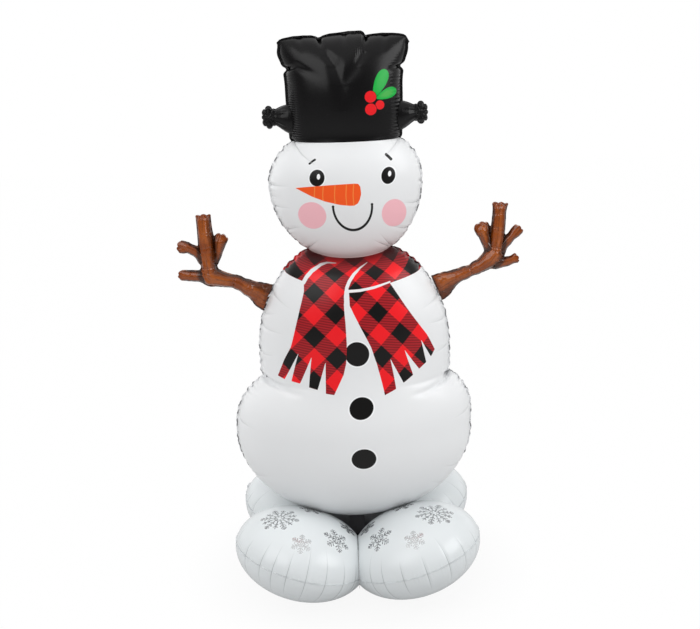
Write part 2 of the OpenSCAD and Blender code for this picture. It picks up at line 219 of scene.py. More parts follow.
def ease(x, knots, values):
    """Value between knots, eased in and out at each of them."""
    x = np.asarray(x, float)
    i = np.clip(np.searchsorted(knots, x) - 1, 0, len(knots) - 2)
    t = (x - np.take(knots, i)) / (np.take(knots, i + 1) - np.take(knots, i))
    t = smooth_step(np.clip(t, 0, 1))
    return np.take(values, i) * (1 - t) + np.take(values, i + 1) * t


# Over the height: how far the film leans to the right, how far it is drawn in at the arms, and how far its
# print leans
LEAN_AT = np.array([0, 0.40, WAIST, 0.64, 0.70, 0.752, 0.80, 0.85, NECK, 0.95, 1.04, BROW, 1.27, TOP])
LEAN = np.array([0, 0, 9, 9, 9, 9, 9, 8, 5, 1, 0, 5, 4, 6]) * MM
SLIM_AT = np.array([WAIST, 0.62, 0.70, 0.755, 0.80, 0.84, NECK])
SLIM = np.array([0, 3, 5, 8, 8, 4, 0]) * MM
PRINT_AT = np.array([0, 0.40, WAIST, 0.64, 0.752, NECK, 1.01, BROW, TOP])
PRINT_LEAN = np.array([0, 0, 9, 7, 2, 0, -3, 3, 2]) * MM


HEIGHTS = 4096


def noise_line(x, seed):
    """Smooth random values along a line: random heights at whole numbers, eased between them."""
    heights = np.random.default_rng(seed).uniform(-1, 1, HEIGHTS)
    i = np.floor(x).astype(int)
    t = smooth_step(x - i)
    return heights[i % HEIGHTS] * (1 - t) + heights[(i + 1) % HEIGHTS] * t


def normals(grid):
    """Unit normals of a grid that closes on itself along its columns."""
    down = np.gradient(grid, axis=0)
    across = np.roll(grid, -1, 1) - np.roll(grid, 1, 1)
    n = np.cross(across, down)
    return n / np.maximum(np.linalg.norm(n, axis=2, keepdims=True), 1e-12)


def settle(smooth, seeds, along, across, rounds, hold, limit=None):
    """Film settled from a smooth grid. Every edge of the grid wants its smooth length times one plus the
    spare share given for it, edges down a column in along and edges round a row in across; diagonals and
    double edges keep the film from shearing and kinking, and hold draws every point back towards the smooth
    place. Each round adds a share of all the edges' pulls, and a share of the last move."""
    lower, upper, every = slice(None, -1), slice(1, None), slice(None)
    most = np.maximum(along, across)
    slant = (most[:-1] + np.roll(most[1:], -1, 1)) / 4
    beside = np.roll(across, -1, 1)
    # Edges: rows they start from, rows they end in, columns they turn by, strength and spare share
    edges = ((lower, upper, 0, 1, (along[:-1] + along[1:]) / 2), (every, every, 1, 1, (across + beside) / 2),
             (lower, upper, 1, 0.4, slant), (upper, lower, 1, 0.4, slant),
             (slice(None, -2), slice(2, None), 0, 0.15, along[1:-1]), (every, every, 2, 0.15, beside))

    def reach(points, a, b, turn):
        d = np.roll(points, -turn, 1)[b] - points[a]
        return d, np.linalg.norm(d, axis=2)

    wants = [reach(smooth, a, b, turn)[1] * (1 + spare) for a, b, turn, _, spare in edges]
    place = smooth + seeds
    last = place.copy()
    for _ in range(rounds):
        move = np.zeros_like(place)
        for (a, b, turn, share, _), want in zip(edges, wants):
            d, size = reach(place, a, b, turn)
            pull = d * (share * 0.5 * (1 - want / np.maximum(size, 1e-9)))[..., None]
            if a is every:
                move += pull - np.roll(pull, turn, 1)
            else:
                move[a] += pull
                move[b] -= np.roll(pull, turn, 1)
        new = place + 0.45 * move + 0.5 * (place - last) + hold * (smooth - place)
        last = place
        place = new if limit is None else limit(new)
    return place


def grid_faces(count, columns, poles, join=None):
    """Quads of a grid whose rows close on themselves. A row that is a pole becomes one point, and join says
    which point of the last row takes the place of each of its points."""
    index = np.arange(count * columns).reshape(count, columns)
    if poles[0]:
        index[0] = index[0, 0]
    if poles[1]:
        index[-1] = index[-1, 0]
    if join is not None:
        index[-1] = index[-1][join]
    turned = np.roll(index, -1, 1)
    quads = np.stack([index[:-1], turned[:-1], turned[1:], index[1:]], -1).reshape(-1, 4)
    first = quads[:, 0] == quads[:, 1]
    final = quads[:, 2] == quads[:, 3]
    plain = quads[~first & ~final]
    return plain.tolist() + quads[first][:, [0, 2, 3]].tolist() + quads[final][:, [0, 1, 2]].tolist()


def make_piece(name, points, faces, body, slot, floats=None, vectors=None):
    """Mesh object from points and faces, turned outwards, with its attributes, riding on a body."""
    used = np.unique(np.concatenate([np.ravel(f) for f in faces]) if len(faces) else [])
    renumber = np.zeros(len(points), int)
    renumber[used] = np.arange(len(used))
    faces = [renumber[np.asarray(f)].tolist() for f in faces]
    points = points[used]
    mesh = bpy.data.meshes.new(name)
    mesh.from_pydata(points.tolist(), [], faces)
    mesh.validate()
    corners = np.array([f[:3] for f in faces])
    a, b, c = points[corners[:, 0]], points[corners[:, 1]], points[corners[:, 2]]
    if (np.einsum("ij,ij->i", a - points.mean(0), np.cross(b - a, c - a))).sum() < 0:
        mesh.flip_normals()
    mesh.shade_smooth()
    mesh.set_sharp_from_angle(angle=math.radians(75))
    for key, values in (floats or {}).items():
        layer = mesh.attributes.new(key, "FLOAT", "POINT")
        layer.data.foreach_set("value", np.asarray(values, np.float32).ravel()[used])
    for key, values in (vectors or {}).items():
        layer = mesh.attributes.new(key, "FLOAT_VECTOR", "POINT")
        layer.data.foreach_set("vector", np.asarray(values, np.float32).reshape(-1, 3)[used].ravel())
    mesh.update()
    piece = bpy.data.objects.new(name, mesh)
    bpy.context.scene.collection.objects.link(piece)
    if body:
        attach(piece, body)
    return piece


def round_piece(name, grid, slot, **fields):
    """Piece of the stand from a grid whose first and last rows are poles."""
    faces = grid_faces(*grid.shape[:2], (True, True))
    return make_piece(name, grid.reshape(-1, 3), faces, "stand", slot, **fields)


PANEL = 113


def panel_angles():
    """Angles across one panel from seam to seam, closer together towards the seams."""
    share = np.linspace(0, 1, PANEL)
    return math.pi * (share - 0.5 * np.sin(TAU * share) / TAU)


def figure_grid(s):
    """Smooth film of the whole figure. Rows climb from the belly's foot to the hat's top seam, evenly along
    the film and twice as close on the hat; each row is an ellipse from seam to seam over the back and on over
    the front, with one point on each seam's outer edge. The torso is drawn in a little where the arms are
    sealed on, and the neck hangs lower in the middle than at its ends.
    Returns points, print places (x, run, z), side, distance from the seam and the row of the brow."""
    fine = np.linspace(SEAT, TOP - SEAM, 6000)
    half = figure_half(s, fine)
    sides, middle = figure_depth(s, fine)
    climb = np.sqrt(np.diff(fine) ** 2 + np.maximum(np.diff(half) ** 2, np.diff(sides) ** 2))
    run = np.r_[0, np.cumsum(climb)]
    brow_run = np.interp(BROW, fine, run)
    stops = np.r_[np.arange(0, brow_run - s.step / 2, s.step), np.arange(brow_run, run[-1], s.step / 2),
                  run[-1]]
    z = np.interp(stops, run, fine)
    brow_row = int(np.argmin(abs(z - BROW)))
    w = np.interp(z, fine, half) - ease(z, SLIM_AT, SLIM) * ((z > WAIST) & (z < NECK))
    d = np.interp(z, fine, sides)
    flat_d = np.interp(z, fine, middle)
    front_run = np.interp(z, fine, np.r_[0, np.cumsum(np.hypot(np.diff(fine), np.diff(middle)))])
    shrink = np.r_[0, 0.35, 0.7]
    z = np.r_[np.full(3, SEAT), z, TOP]
    w = np.r_[shrink * w[0], w, w[-1]]
    d = np.r_[shrink * d[0], d, 0]
    flat_d = np.r_[shrink * flat_d[0], flat_d, 0]
    front_run = np.r_[np.zeros(3), front_run, front_run[-1] + SEAM]
    angle = panel_angles()
    angle = np.r_[0, angle, math.pi, math.pi + angle]
    edge = np.zeros(len(angle))
    edge[[0, PANEL + 1]] = SEAM
    side = np.r_[0, np.ones(PANEL), 0, -np.ones(PANEL)]
    lift = abs(np.sin(angle))
    gap = 0.4 * MM * np.minimum(1, w[:, None] / w.max() * 4) * (d[:, None] > 0)
    x0 = np.cos(angle) * (w[:, None] + edge * np.minimum(1, w[:, None] / (60 * MM)))
    share = ease(lift, np.array([0, 0.3, 0.9, 2]), np.array([0, 0, 1, 1]))
    y = side * np.maximum(gap, (d[:, None] * (1 - share) + flat_d[:, None] * share) * lift)
    rows = z[:, None] - 15 * MM * bell(z[:, None] - NECK, 40) * lift ** 2
    grid = np.stack([x0 + ease(rows, LEAN_AT, LEAN), y, rows], -1)
    span = np.r_["1", np.zeros((len(z), 1)), np.linalg.norm(np.diff(grid, axis=1), axis=2)].cumsum(1)
    seam_far = np.zeros_like(x0)
    for first in (1, PANEL + 2):
        part = span[:, first:first + PANEL] - span[:, first:first + 1]
        seam_far[:, first:first + PANEL] = np.minimum(part, part[:, -1:] - part)
    place = np.stack([grid[..., 0] - ease(rows, PRINT_AT, PRINT_LEAN),
                      np.broadcast_to(front_run[:, None], x0.shape), rows], -1)
    return grid, place, np.broadcast_to(side, x0.shape), seam_far, brow_row + 3


def stroke_far(x, z, a, b):
    """Distance of points from the stroke between a and b."""
    a, b = np.array(a), np.array(b)
    t = np.clip(((x - a[0]) * (b[0] - a[0]) + (z - a[1]) * (b[1] - a[1])) / ((b - a) @ (b - a)), 0, 1)
    return np.hypot(x - a[0] - t * (b[0] - a[0]), z - a[1] - t * (b[1] - a[1])), t


NOTCH = BROW + 171 * MM
FOLDS = (
    # Valleys of the hat's front: start, end, half width, depth at the start and at the end
    ((-53, 1392), (-42, 1360), 4.5, 8, 4), ((-42, 1360), (-34, 1346), 7, 4, 4),
    ((-34, 1346), (-16, 1318), 9, 5, 6),
    ((-16, 1318), (-4, 1272), 14, 6, 4), ((-4, 1272), (-7, 1215), 18, 4, 0),
    ((58, 1390), (50, 1362), 4.5, 8, 4),
    ((50, 1362), (48, 1348), 7, 4, 4), ((48, 1348), (30, 1315), 9, 6, 4),
    ((30, 1315), (0, 1282), 13, 4, 3), ((-140, 1316), (-108, 1322), 6, 7, 5),
    ((-108, 1322), (-60, 1300), 9, 5, 1),
    ((140, 1313), (110, 1307), 6, 6, 1), ((-100, 1385), (-92, 1350), 9, 3, 0),
    ((104, 1385), (98, 1345), 9, 3, 0),
    ((8, 1395), (6, 1360), 6, 3, 0),
    # Creases that run in from the waist
    ((-240, 553), (-205, 546), 6, 13, 10), ((-205, 546), (-170, 538), 6.5, 10, 5),
    ((-170, 538), (-128, 533), 8, 5, 0),
    ((242, 545), (208, 536), 6, 13, 10), ((208, 536), (172, 527), 6.5, 10, 5),
    ((172, 527), (132, 524), 8, 5, 0))
CREASES = (
    # Thin creases of the white film: start, end, depth at the start and at the end
    ((-126, 1146), (-104, 1117), 1.0, 0.9), ((-104, 1117), (-74, 1095), 0.9, 0.4),
    ((128, 1141), (108, 1120), 1.0, 0.8), ((108, 1120), (84, 1101), 0.8, 0),
    ((-188, 1040), (-132, 1043), 1, 0), ((-183, 987), (-128, 990), 1, 0),
    ((-186, 1012), (-152, 1012), 0.7, 0),
    ((-152, 928), (-106, 944), 1, 0), ((180, 985), (136, 994), 1, 0), ((150, 920), (98, 942), 1, 0),
    ((-98, 882), (-66, 912), 1, 0), ((98, 882), (60, 908), 1, 0), ((104, 886), (78, 924), 1, 0),
    ((-226, 684), (-172, 681), 1, 0), ((-200, 772), (-146, 742), 1, 0), ((-228, 712), (-186, 728), 0.8, 0),
    ((230, 690), (186, 694), 0.9, 0), ((218, 745), (172, 730), 0.9, 0), ((238, 620), (196, 616), 0.8, 0),
    ((-240, 612), (-200, 622), 0.8, 0), ((-298, 440), (-250, 436), 0.9, 0),
    ((300, 452), (250, 446), 0.9, 0),
    ((272, 300), (222, 322), 1, 0), ((234, 252), (188, 284), 1, 0), ((-264, 290), (-214, 314), 0.9, 0),
    ((-212, 232), (-170, 266), 0.9, 0), ((196, 222), (160, 252), 0.8, 0))
SPARE_FILM = (
    # Spare length down the film round a level: height, share, reach up and down, reach in from the seam
    (WAIST, 0.20, 40, 60), (NECK, 0.10, 30, 45), (BROW, 0.14, 24, 40), (NOTCH, 0.14, 20, 40),
    (BROW + 56 * MM, 0.12, 40, 30))
TOP_EDGE = (
    # Height of the hat's top seam against the solid's, over x
    (-166, -52), (-159, -36), (-154, -25), (-150, -18), (-145, -13.5), (-137, -10.5), (-115, -6.5),
    (-90, -5.5),
    (-72, -6), (-60, -8.5), (-53, -11), (-47, -8), (-29, -3.5), (-8, -1.5), (17, 1), (46, 1), (53, -2),
    (58, -8), (66, -7.5), (97, -5.5), (122, -6.5),
    (136, -8), (145, -10), (150, -13), (154, -18), (159, -28), (166, -46))


def top_edge(x):
    """Height of the hat's top seam over x, against the solid's: a low arch, drawn down at two pleats."""
    knots = np.array(TOP_EDGE) * MM
    return np.interp(x, knots[:, 0], knots[:, 1])


def settle_figure(s):
    """Film of the whole figure, folded along its seams and drawn in at its necks and pleats."""
    grid, place, side, seam_far, brow_row = figure_grid(s)
    x, z = place[..., 0], place[..., 2]
    smooth = grid.copy()
    face = normals(grid)
    out = grid - np.stack([0 * x + grid[..., 0].mean(), 0 * x, grid[..., 2]], -1)
    flip = np.sign(np.einsum("ijk,ijk->ij", face, out))
    face *= np.where(flip == 0, 1, flip)[..., None]
    hat = np.arange(len(grid))[:, None] > brow_row
    dent = np.zeros_like(x)
    thin = [(start, end, 4, 2.2 * deep, 2.2 * last) for start, end, deep, last in CREASES]
    for start, end, spread, deep, last in FOLDS + tuple(thin):
        for facing, way in ((-1, 1), (1, -1)):
            far, t = stroke_far(way * x, z, np.array(start) * MM, np.array(end) * MM)
            deep_here = (deep + (last - deep) * t) * MM * bell(far, spread)
            dent = np.maximum(dent, np.where(side == facing, deep_here, 0))
    smooth -= face * dent[..., None]
    below_top = np.where(hat, TOP - z, 1)
    pinch = 7 * MM * bell(z - NOTCH, 8) * fade_out(seam_far, 25)
    pinch -= 3 * MM * fade_out(below_top, 16) * np.clip(abs(x) / (150 * MM), 0, 1) ** 6
    bulge = np.where(x < 0, 9, 5) * MM * bell(z - TOP + 44 * MM, 24)
    pinch -= bulge * np.clip(abs(x) / (150 * MM), 0, 1) ** 4
    smooth[..., 0] -= pinch * np.sign(x)
    smooth[..., 2] += np.where(hat, top_edge(x) * fade_out(below_top, 34), 0)
    along = np.where(hat, 0.05, 0.15) * fade_out(seam_far, 20)
    for level, spare, tall, deep in SPARE_FILM:
        along += spare * bell(z - level, tall) * fade_out(seam_far, deep)
    across = 0.05 * fade_out(below_top, 16)
    fold = noise_line(z / (8 * MM), 3) + 0.6 * noise_line(z / (5 * MM) + 9 * side, 4)
    ripple = noise_line(x / (5 * MM) + 300, 5)
    seeds = 1.3 * MM * np.where(hat, 0.4, 1) * fold * fade_out(seam_far, 22)
    seeds = face * (seeds + 0.7 * MM * ripple * fade_out(below_top, 20))[..., None]
    seeds += np.random.default_rng(8).normal(0, 0.12 * MM, seeds.shape)
    seeds[:4] = 0

    def meet(points):
        middle = (points[-1, PANEL + 2:] + points[-1, PANEL:0:-1]) / 2
        points[-1, PANEL + 2:] = points[-1, PANEL:0:-1] = middle
        points[:4] = smooth[:4]
        return points

    return settle(smooth, seeds, along, across, 150, 0.012, meet), place, side, seam_far, brow_row


# Foot cushions

LOBE_ROWS = 34
LOBE_COLUMNS = 360
LOBE_ROLL, LOBE_PITCH = math.tan(math.radians(16.3)), math.tan(math.radians(4.9))
# Share of the full half height and height of the middle, in the front row and in the rear
FOOT_ROWS = (("front", -1, 1, 113 * MM), ("rear", 1, 0.94, 106 * MM))


def lobe_turned(points, sx, sy):
    """Points of an upright cushion, tipped outwards and up and turned towards its own corner of the foot."""
    tilt = Matrix.Rotation(-math.atan(math.hypot(LOBE_ROLL, LOBE_PITCH)), 3, "Y")
    turn = Matrix.Rotation(math.atan2(sy * LOBE_PITCH, sx * LOBE_ROLL), 3, "Z")
    return points @ np.array(turn @ tilt).T


def settle_lobe(s, sx, sy, half, height):
    """Film of one foot cushion: a spheroid with a seam round its middle, flattened where it meets the floor,
    its neighbours and the belly, and folded along its seam. Every few columns a pleat runs over the seam."""
    share = np.linspace(0, 1, LOBE_ROWS)
    climb = math.pi / 2 * (share - 0.5 * np.sin(math.pi * share) / math.pi)
    lat = np.r_[-climb[:0:-1], 0, 0, 0, climb[1:]]
    wide = np.cos(lat) * s.lobe_r
    wide[LOBE_ROWS] += 2 * MM
    tall = np.sin(lat) * half
    tall[[LOBE_ROWS - 1, LOBE_ROWS + 1]] = -0.4 * MM, 0.4 * MM
    wide[[0, -1]] = 0
    turn = np.arange(LOBE_COLUMNS) / LOBE_COLUMNS * TAU
    upright = np.stack([wide[:, None] * np.cos(turn), wide[:, None] * np.sin(turn),
                        np.broadcast_to(tall[:, None], (len(lat), LOBE_COLUMNS))], -1)
    smooth = lobe_turned(upright, sx, sy)
    arc = np.r_[0, np.cumsum(np.hypot(np.diff(wide), np.diff(tall)))]
    seam_far = abs(arc - arc[LOBE_ROWS])[:, None] + 0 * turn
    top_far = (arc[-1] - arc)[:, None]
    heading = turn + math.atan2(sy * LOBE_PITCH, sx * LOBE_ROLL)
    flat = np.stack([sx * top_far * np.cos(heading), sy * top_far * np.sin(heading),
                     np.broadcast_to((lat > 0)[:, None], seam_far.shape)], -1)
    draw = np.random.default_rng(int(20 + 2 * sx + sy))
    pleats = np.cumsum(draw.integers(12, 21, 40))
    pleats = pleats[pleats < LOBE_COLUMNS - 6]
    away = np.arange(LOBE_COLUMNS)[:, None] - pleats
    away = abs((away + LOBE_COLUMNS / 2) % LOBE_COLUMNS - LOBE_COLUMNS / 2)
    nearest = away.argmin(1)
    reach_up = draw.uniform(35, 105, len(pleats))[nearest] * MM
    reach_down = draw.uniform(60, 130, len(pleats))[nearest] * MM
    reach = np.where(lat[:, None] > 0, reach_up, reach_down)
    fade = np.clip(1.4 - 1.4 * seam_far / reach, 0, 1)
    pleat_far = away.min(1) * s.lobe_r * TAU / LOBE_COLUMNS
    level = np.cos(lat)[:, None]
    face = np.stack([level * np.cos(turn) / s.lobe_r, level * np.sin(turn) / s.lobe_r,
                     np.broadcast_to(np.sin(lat)[:, None], seam_far.shape) / half], -1)
    face = lobe_turned(face, sx, sy)
    face /= np.linalg.norm(face, axis=2, keepdims=True)
    smooth -= face * (1.3 * MM * fade * bell(pleat_far, 3.2))[..., None]
    smooth += np.array([sx * s.lobe_off, sy * s.lobe_off, height])
    under = np.linspace(SEAT, s.belly_mid, 200)
    under_half = figure_half(s, under)

    def limit(points):
        points[..., 0] = sx * np.maximum(sx * points[..., 0], 0.5 * MM)
        points[..., 1] = sy * np.maximum(sy * points[..., 1], 0.5 * MM)
        spread = np.hypot(points[..., 0], points[..., 1] / s.puff)
        roof = np.where(spread < s.belly_w / 2, np.interp(spread, under_half, under) - 1 * MM, 1)
        points[..., 2] = np.clip(points[..., 2], 0.3 * MM, roof)
        return points

    across = 0.06 * fade_out(seam_far, 24)
    fold = noise_line(turn * s.lobe_r / (7 * MM) + 50 * sx + 90 * sy, 11)
    seeds = face * (0.7 * MM * fold * fade_out(seam_far, 20))[..., None]
    seeds[:2] = seeds[-2:] = 0
    smooth = settle(limit(smooth), seeds, 0 * across, across, 110, 0.015, limit)
    return limit(smooth), flat, pleat_far + 0 * seam_far, fade


# Hands

ARM = next(joint for joint in frame["joints"] if joint["name"] == "right_arm_swing")
ROOT = Vector(ARM["pos_m"]) + Vector((0.25 * MM, 0, 0))
ROOT_LEAN = math.atan2(ARM["axis"][0], ARM["axis"][2])
HAND_LIMBS = {
    # Limbs of each hand: forearm, long finger, inner, upper and lower stubs; each a chain of places out from
    # and above the hinge, half width and half depth
    -1: (((-9, 1, 36, 0.5), (-3, 4, 34.5, 0.5), (10, 12.5, 29, 10), (36, 27, 21.5, 18),
        (67.6, 44.7, 17, 16),
          (95, 50, 19.5, 18.5), (122, 58, 23.5, 21), (133, 66, 23, 20)),
         ((131, 58, 21.5, 20), (135, 115, 20.5, 19.5), (137, 170, 19.5, 18.5), (138.5, 200, 19.5, 13),
          (139, 215, 20.5, 5)),
         ((115, 98, 9, 9), (107.5, 124, 12.5, 11.5), (102, 145, 15.5, 12), (96.5, 160, 18, 6)),
         ((146, 108, 16, 14), (165, 126, 13.5, 13), (185, 136, 14.5, 12), (203, 138.5, 16, 6)),
         ((132, 58, 20, 16), (158, 61.5, 15, 14), (185, 64, 14, 12.5), (205, 65.5, 13.5, 7))),
    1: (((-9.5, 11.5, 34, 0.5), (-4, 14.5, 32.5, 0.5), (9, 23, 28, 10), (34, 37.5, 19.5, 17),
        (77, 54, 15.5, 14.5),
         (100, 65, 19, 17.5), (121, 79, 24, 20.5), (133, 92, 23, 20)),
        ((132, 84, 20.5, 19), (137, 112, 18.5, 18), (142, 161, 18, 17.5), (145.5, 204, 18.5, 13),
        (147, 220, 20, 5)),
        ((123, 103, 15, 13), (111, 132, 15, 12.5), (104, 152, 18, 12), (99, 166, 20, 6)),
        ((146, 104, 16, 13), (162, 122, 13.5, 11.5), (180, 141, 12.5, 11), (194, 155, 14.5, 7)),
        ((138, 70, 17, 15), (158, 70, 11.5, 11), (172, 74, 11.5, 10), (187, 80, 14, 7)))}
END_ROUND = (0, 0.15, 0.6, 0.55, 0.7)
# Creases across a limb: which limb, way along it, depth
CROSS_CREASES = ((0, 92, 3.0), (0, 58, 1.2), (1, 26, 2.0), (1, 76, 1.0), (1, 112, 0.8))


def limb_fields(x, z, limb, round_end):
    """Signed distance from a limb's outline, its half depth there, the way along it, the distance beyond its
    gathered end, the distance left of its line and the share of its full depth that is lost there. A limb is
    a chain of tapered strokes, and its end is a low arch with a few small lobes."""
    best = np.full(x.shape, 1.0)
    depth, along, left, full = (np.zeros(x.shape) for _ in range(4))
    start = 0.0
    limb = np.array(limb) * MM
    for a, b in zip(limb[:-1], limb[1:]):
        run = b[:2] - a[:2]
        size = run @ run
        t = np.clip(((x - a[0]) * run[0] + (z - a[1]) * run[1]) / size, 0, 1)
        away = np.hypot(x - a[0] - t * run[0], z - a[1] - t * run[1])
        wide = a[2] + t * (b[2] - a[2])
        wide = wide + 1.5 * MM * noise_line((start + t * math.sqrt(size)) / (14 * MM) + 3000 * limb[0][0], 19)
        peak = a[3] + t * (b[3] - a[3])
        tall = peak * np.sqrt(np.clip(1 - (away / (wide - 2 * MM)) ** 2, 0, None))
        nearer = away - wide < best
        full = np.where(tall > depth, peak, full)
        depth = np.maximum(depth, tall)
        along = np.where(nearer, start + t * math.sqrt(size), along)
        left = np.where(nearer, np.sign((x - a[0]) * run[1] - (z - a[1]) * run[0]) * away, left)
        best = np.minimum(best, away - wide)
        start += math.sqrt(size)
    run = (limb[-1] - limb[-2])[:2]
    run = run / math.hypot(*run)
    beyond = (x - limb[-1][0]) * run[0] + (z - limb[-1][1]) * run[1]
    across = ((x - limb[-1][0]) * run[1] - (z - limb[-1][1]) * run[0]) / limb[-1][2]
    arch_end = round_end * limb[-1][2] * (np.sqrt(np.clip(1 - across ** 2, 0, 1)) - 0.4)
    lobes = 4 * MM * (abs(np.cos(across * 3.9 + 500 * start)) ** 0.6 - 0.6)
    lost = 1 - depth / np.maximum(full, 1e-6)
    if round_end:
        best = np.maximum(best, beyond - arch_end - lobes)
    return best, depth, along, beyond, left, lost


def hand_fields(x, z, side):
    """Outline distance of a whole hand, with soft crotches between limbs, its half depth, how near a point is
    to the crevice between two limbs' flanks, how near a stub's point is to the limb that the stub springs
    from, which limb stands highest there, and that limb's own fields."""
    limbs = HAND_LIMBS[side]
    parts = [limb_fields(x, z, limb, end) for limb, end in zip(limbs, END_ROUND)]
    far = np.stack([p[0] for p in parts])
    tall = np.stack([p[1] for p in parts])
    lost = np.stack([p[5] for p in parts])
    soft = 2.5 * MM
    outline = -soft * np.log(np.exp(-far / soft).sum(0))
    outline = np.maximum(outline, -root_way(x, z, side) - 5 * MM)
    order = np.argsort(tall, 0)
    first, second = (np.take_along_axis(tall, order[k][None], 0)[0] for k in (-1, -2))
    flank = np.minimum(*(np.take_along_axis(lost, order[k][None], 0)[0] for k in (-1, -2)))
    crevice = bell(first - second, 2) * np.clip(second / (3 * MM) - 0.5, 0, 1)
    crevice = crevice * np.clip(flank * 6 - 0.4, 0, 1) * np.where(order[-1] + order[-2] == 1, 0.1, 1)
    near = np.where(first > 0, tall.argmax(0), far.argmin(0))[None]
    base = np.where(near[0] > 1, fade_out(np.maximum(np.minimum(far[0], far[1]), 0), 9), 0)

    def of_near(k):
        return np.take_along_axis(np.stack([p[k] for p in parts]), near, 0)[0]

    return outline, first, crevice, base, near[0], of_near(2), -of_near(3), of_near(4)


def root_way(x, z, side):
    """Distance out from a hand's sealed root, square to it."""
    root = HAND_LIMBS[side][0][0]
    return (x - root[0] * MM) * math.cos(ROOT_LEAN) - (z - root[1] * MM) * math.sin(ROOT_LEAN)


def root_place(side, way):
    """Point on a hand's middle line at a distance out from its sealed root."""
    root = HAND_LIMBS[side][0][0]
    out = ROOT.x + root[0] * MM + way * math.cos(ROOT_LEAN)
    up = ROOT.z + root[1] * MM - way * math.sin(ROOT_LEAN)
    return (side * out + float(ease(ROOT.z, LEAN_AT, LEAN)), 0, up)


# Distances from a hand's root round its joint, where two points are placed that nothing uses
BEND = (1 * MM, 34 * MM)
CELL = 1.6
TINY = 0.2 * MM


def hand_mesh(side):
    """Front and back film of a hand over a fine square grid: cells inside the outline are kept, the outline's
    points are drawn onto it, and a wall as thin as the seal joins the two films there. Folds run along each
    limb, and a few creases across the long ones."""
    x, z = np.meshgrid(np.arange(-40, 236, CELL) * MM, np.arange(-48, 244, CELL) * MM)
    outline = hand_fields(x, z, side)[0]
    corner = np.arange(x.size).reshape(x.shape)
    inside = outline < 0.3 * CELL * MM
    cell = inside[:-1, :-1] & inside[1:, :-1] & inside[:-1, 1:] & inside[1:, 1:]
    quads = np.stack([corner[:-1, :-1], corner[:-1, 1:], corner[1:, 1:], corner[1:, :-1]], -1)[cell]
    first, last = quads.ravel(), np.roll(quads, -1, 1).ravel()
    rim = ~np.isin(first * x.size + last, last * x.size + first)
    first, last = first[rim], last[rim]
    px, pz = x.ravel().copy(), z.ravel().copy()
    edge = np.unique(first)
    for _ in range(3):
        ex, ez = px[edge], pz[edge]
        off = hand_fields(ex, ez, side)[0]
        gx, gz = ((hand_fields(ex + u, ez + v, side)[0] - hand_fields(ex - u, ez - v, side)[0]) / (2 * TINY)
                  for u, v in ((TINY, 0), (0, TINY)))
        size = np.maximum(gx * gx + gz * gz, 0.2)
        px[edge] -= off * gx / size
        pz[edge] -= off * gz / size
    outline, depth, crevice, base, limb, along, short, left = hand_fields(px, pz, side)
    inward = np.maximum(-outline, 0)
    end = np.where(limb > 0, fade_out(np.maximum(short, 0), 10), 0)
    films = []
    for facing in (-1, 1):
        drift = 0.6 * noise_line(along / (26 * MM) + 11 * limb, 30)
        fold = noise_line(along / (6.5 * MM) + 70 * facing + 7 * limb, 31) * fade_out(inward, 6)
        ridge = noise_line(left / (6.5 * MM) + drift + 60 * facing + 40 * limb + 200, 33) - 0.25
        crinkle = 1.4 * MM * fold + (2.0 + 1.6 * end) * MM * ridge
        for which, at, deep in CROSS_CREASES:
            bend = along - at * MM - 0.25 * left * noise_line(np.full(1, at / 9), 36)
            crinkle -= deep * MM * bell(bend, 2) * (limb == which)
        tall = np.maximum(depth * (1 - 0.3 * crevice) + crinkle * np.clip(depth / (5 * MM), 0.12, 1), 0)
        wave = 1.2 * MM * noise_line(along / (9 * MM) + 5, 35) * fade_out(inward, 5) * (1 - 0.7 * end)
        films.append(facing * (tall + 0.4 * MM) + wave)
    films = [np.minimum(films[0], films[1] - 0.8 * MM), np.maximum(films[1], films[0] + 0.8 * MM)]
    root = np.clip(root_way(px, pz, side) / (8 * MM), 0, 1)
    films = [facing * 0.4 * MM * (1 - root) + film * root for facing, film in zip((-1, 1), films)]
    out = side * (ROOT.x + px) + ease(ROOT.z, LEAN_AT, LEAN)
    points = np.concatenate([np.stack([out, film, ROOT.z + pz], -1) for film in films])
    walls = np.stack([first, last, last + x.size, first + x.size], -1)
    faces = quads.tolist() + (quads[:, ::-1] + x.size).tolist() + walls[:, ::-1].tolist()
    fields = {"edge": inward, "along": along + 0.7 * limb, "crevice": crevice, "base": base,
              "left": side * left, "end": end}
    return points, faces, {key: np.tile(values, 2) for key, values in fields.items()}


def strip_mesh(side):
    """Tape over a hand's root: a flat oval carried along the sealed edge, a little wavy, with closed ends."""
    way = np.linspace(-28, 28, 29) * MM
    turn = np.arange(16) / 16 * TAU
    fade = np.sqrt(np.clip(1 - (way / (28.5 * MM)) ** 16, 0, 1))[:, None]
    across = -1.5 * MM + 4.5 * MM * np.cos(turn) * fade
    root = HAND_LIMBS[side][0][0]
    x = root[0] * MM + across * math.cos(ROOT_LEAN) + way[:, None] * math.sin(ROOT_LEAN)
    z = root[1] * MM - across * math.sin(ROOT_LEAN) + way[:, None] * math.cos(ROOT_LEAN)
    y = 1.2 * MM + (0.3 * np.sin(turn) * fade + 0.15 * noise_line(way / (6 * MM) + 50, 46)[:, None]) * MM
    return np.stack([side * (ROOT.x + x) + ease(ROOT.z, LEAN_AT, LEAN), y, ROOT.z + z], -1)


# Hat brim

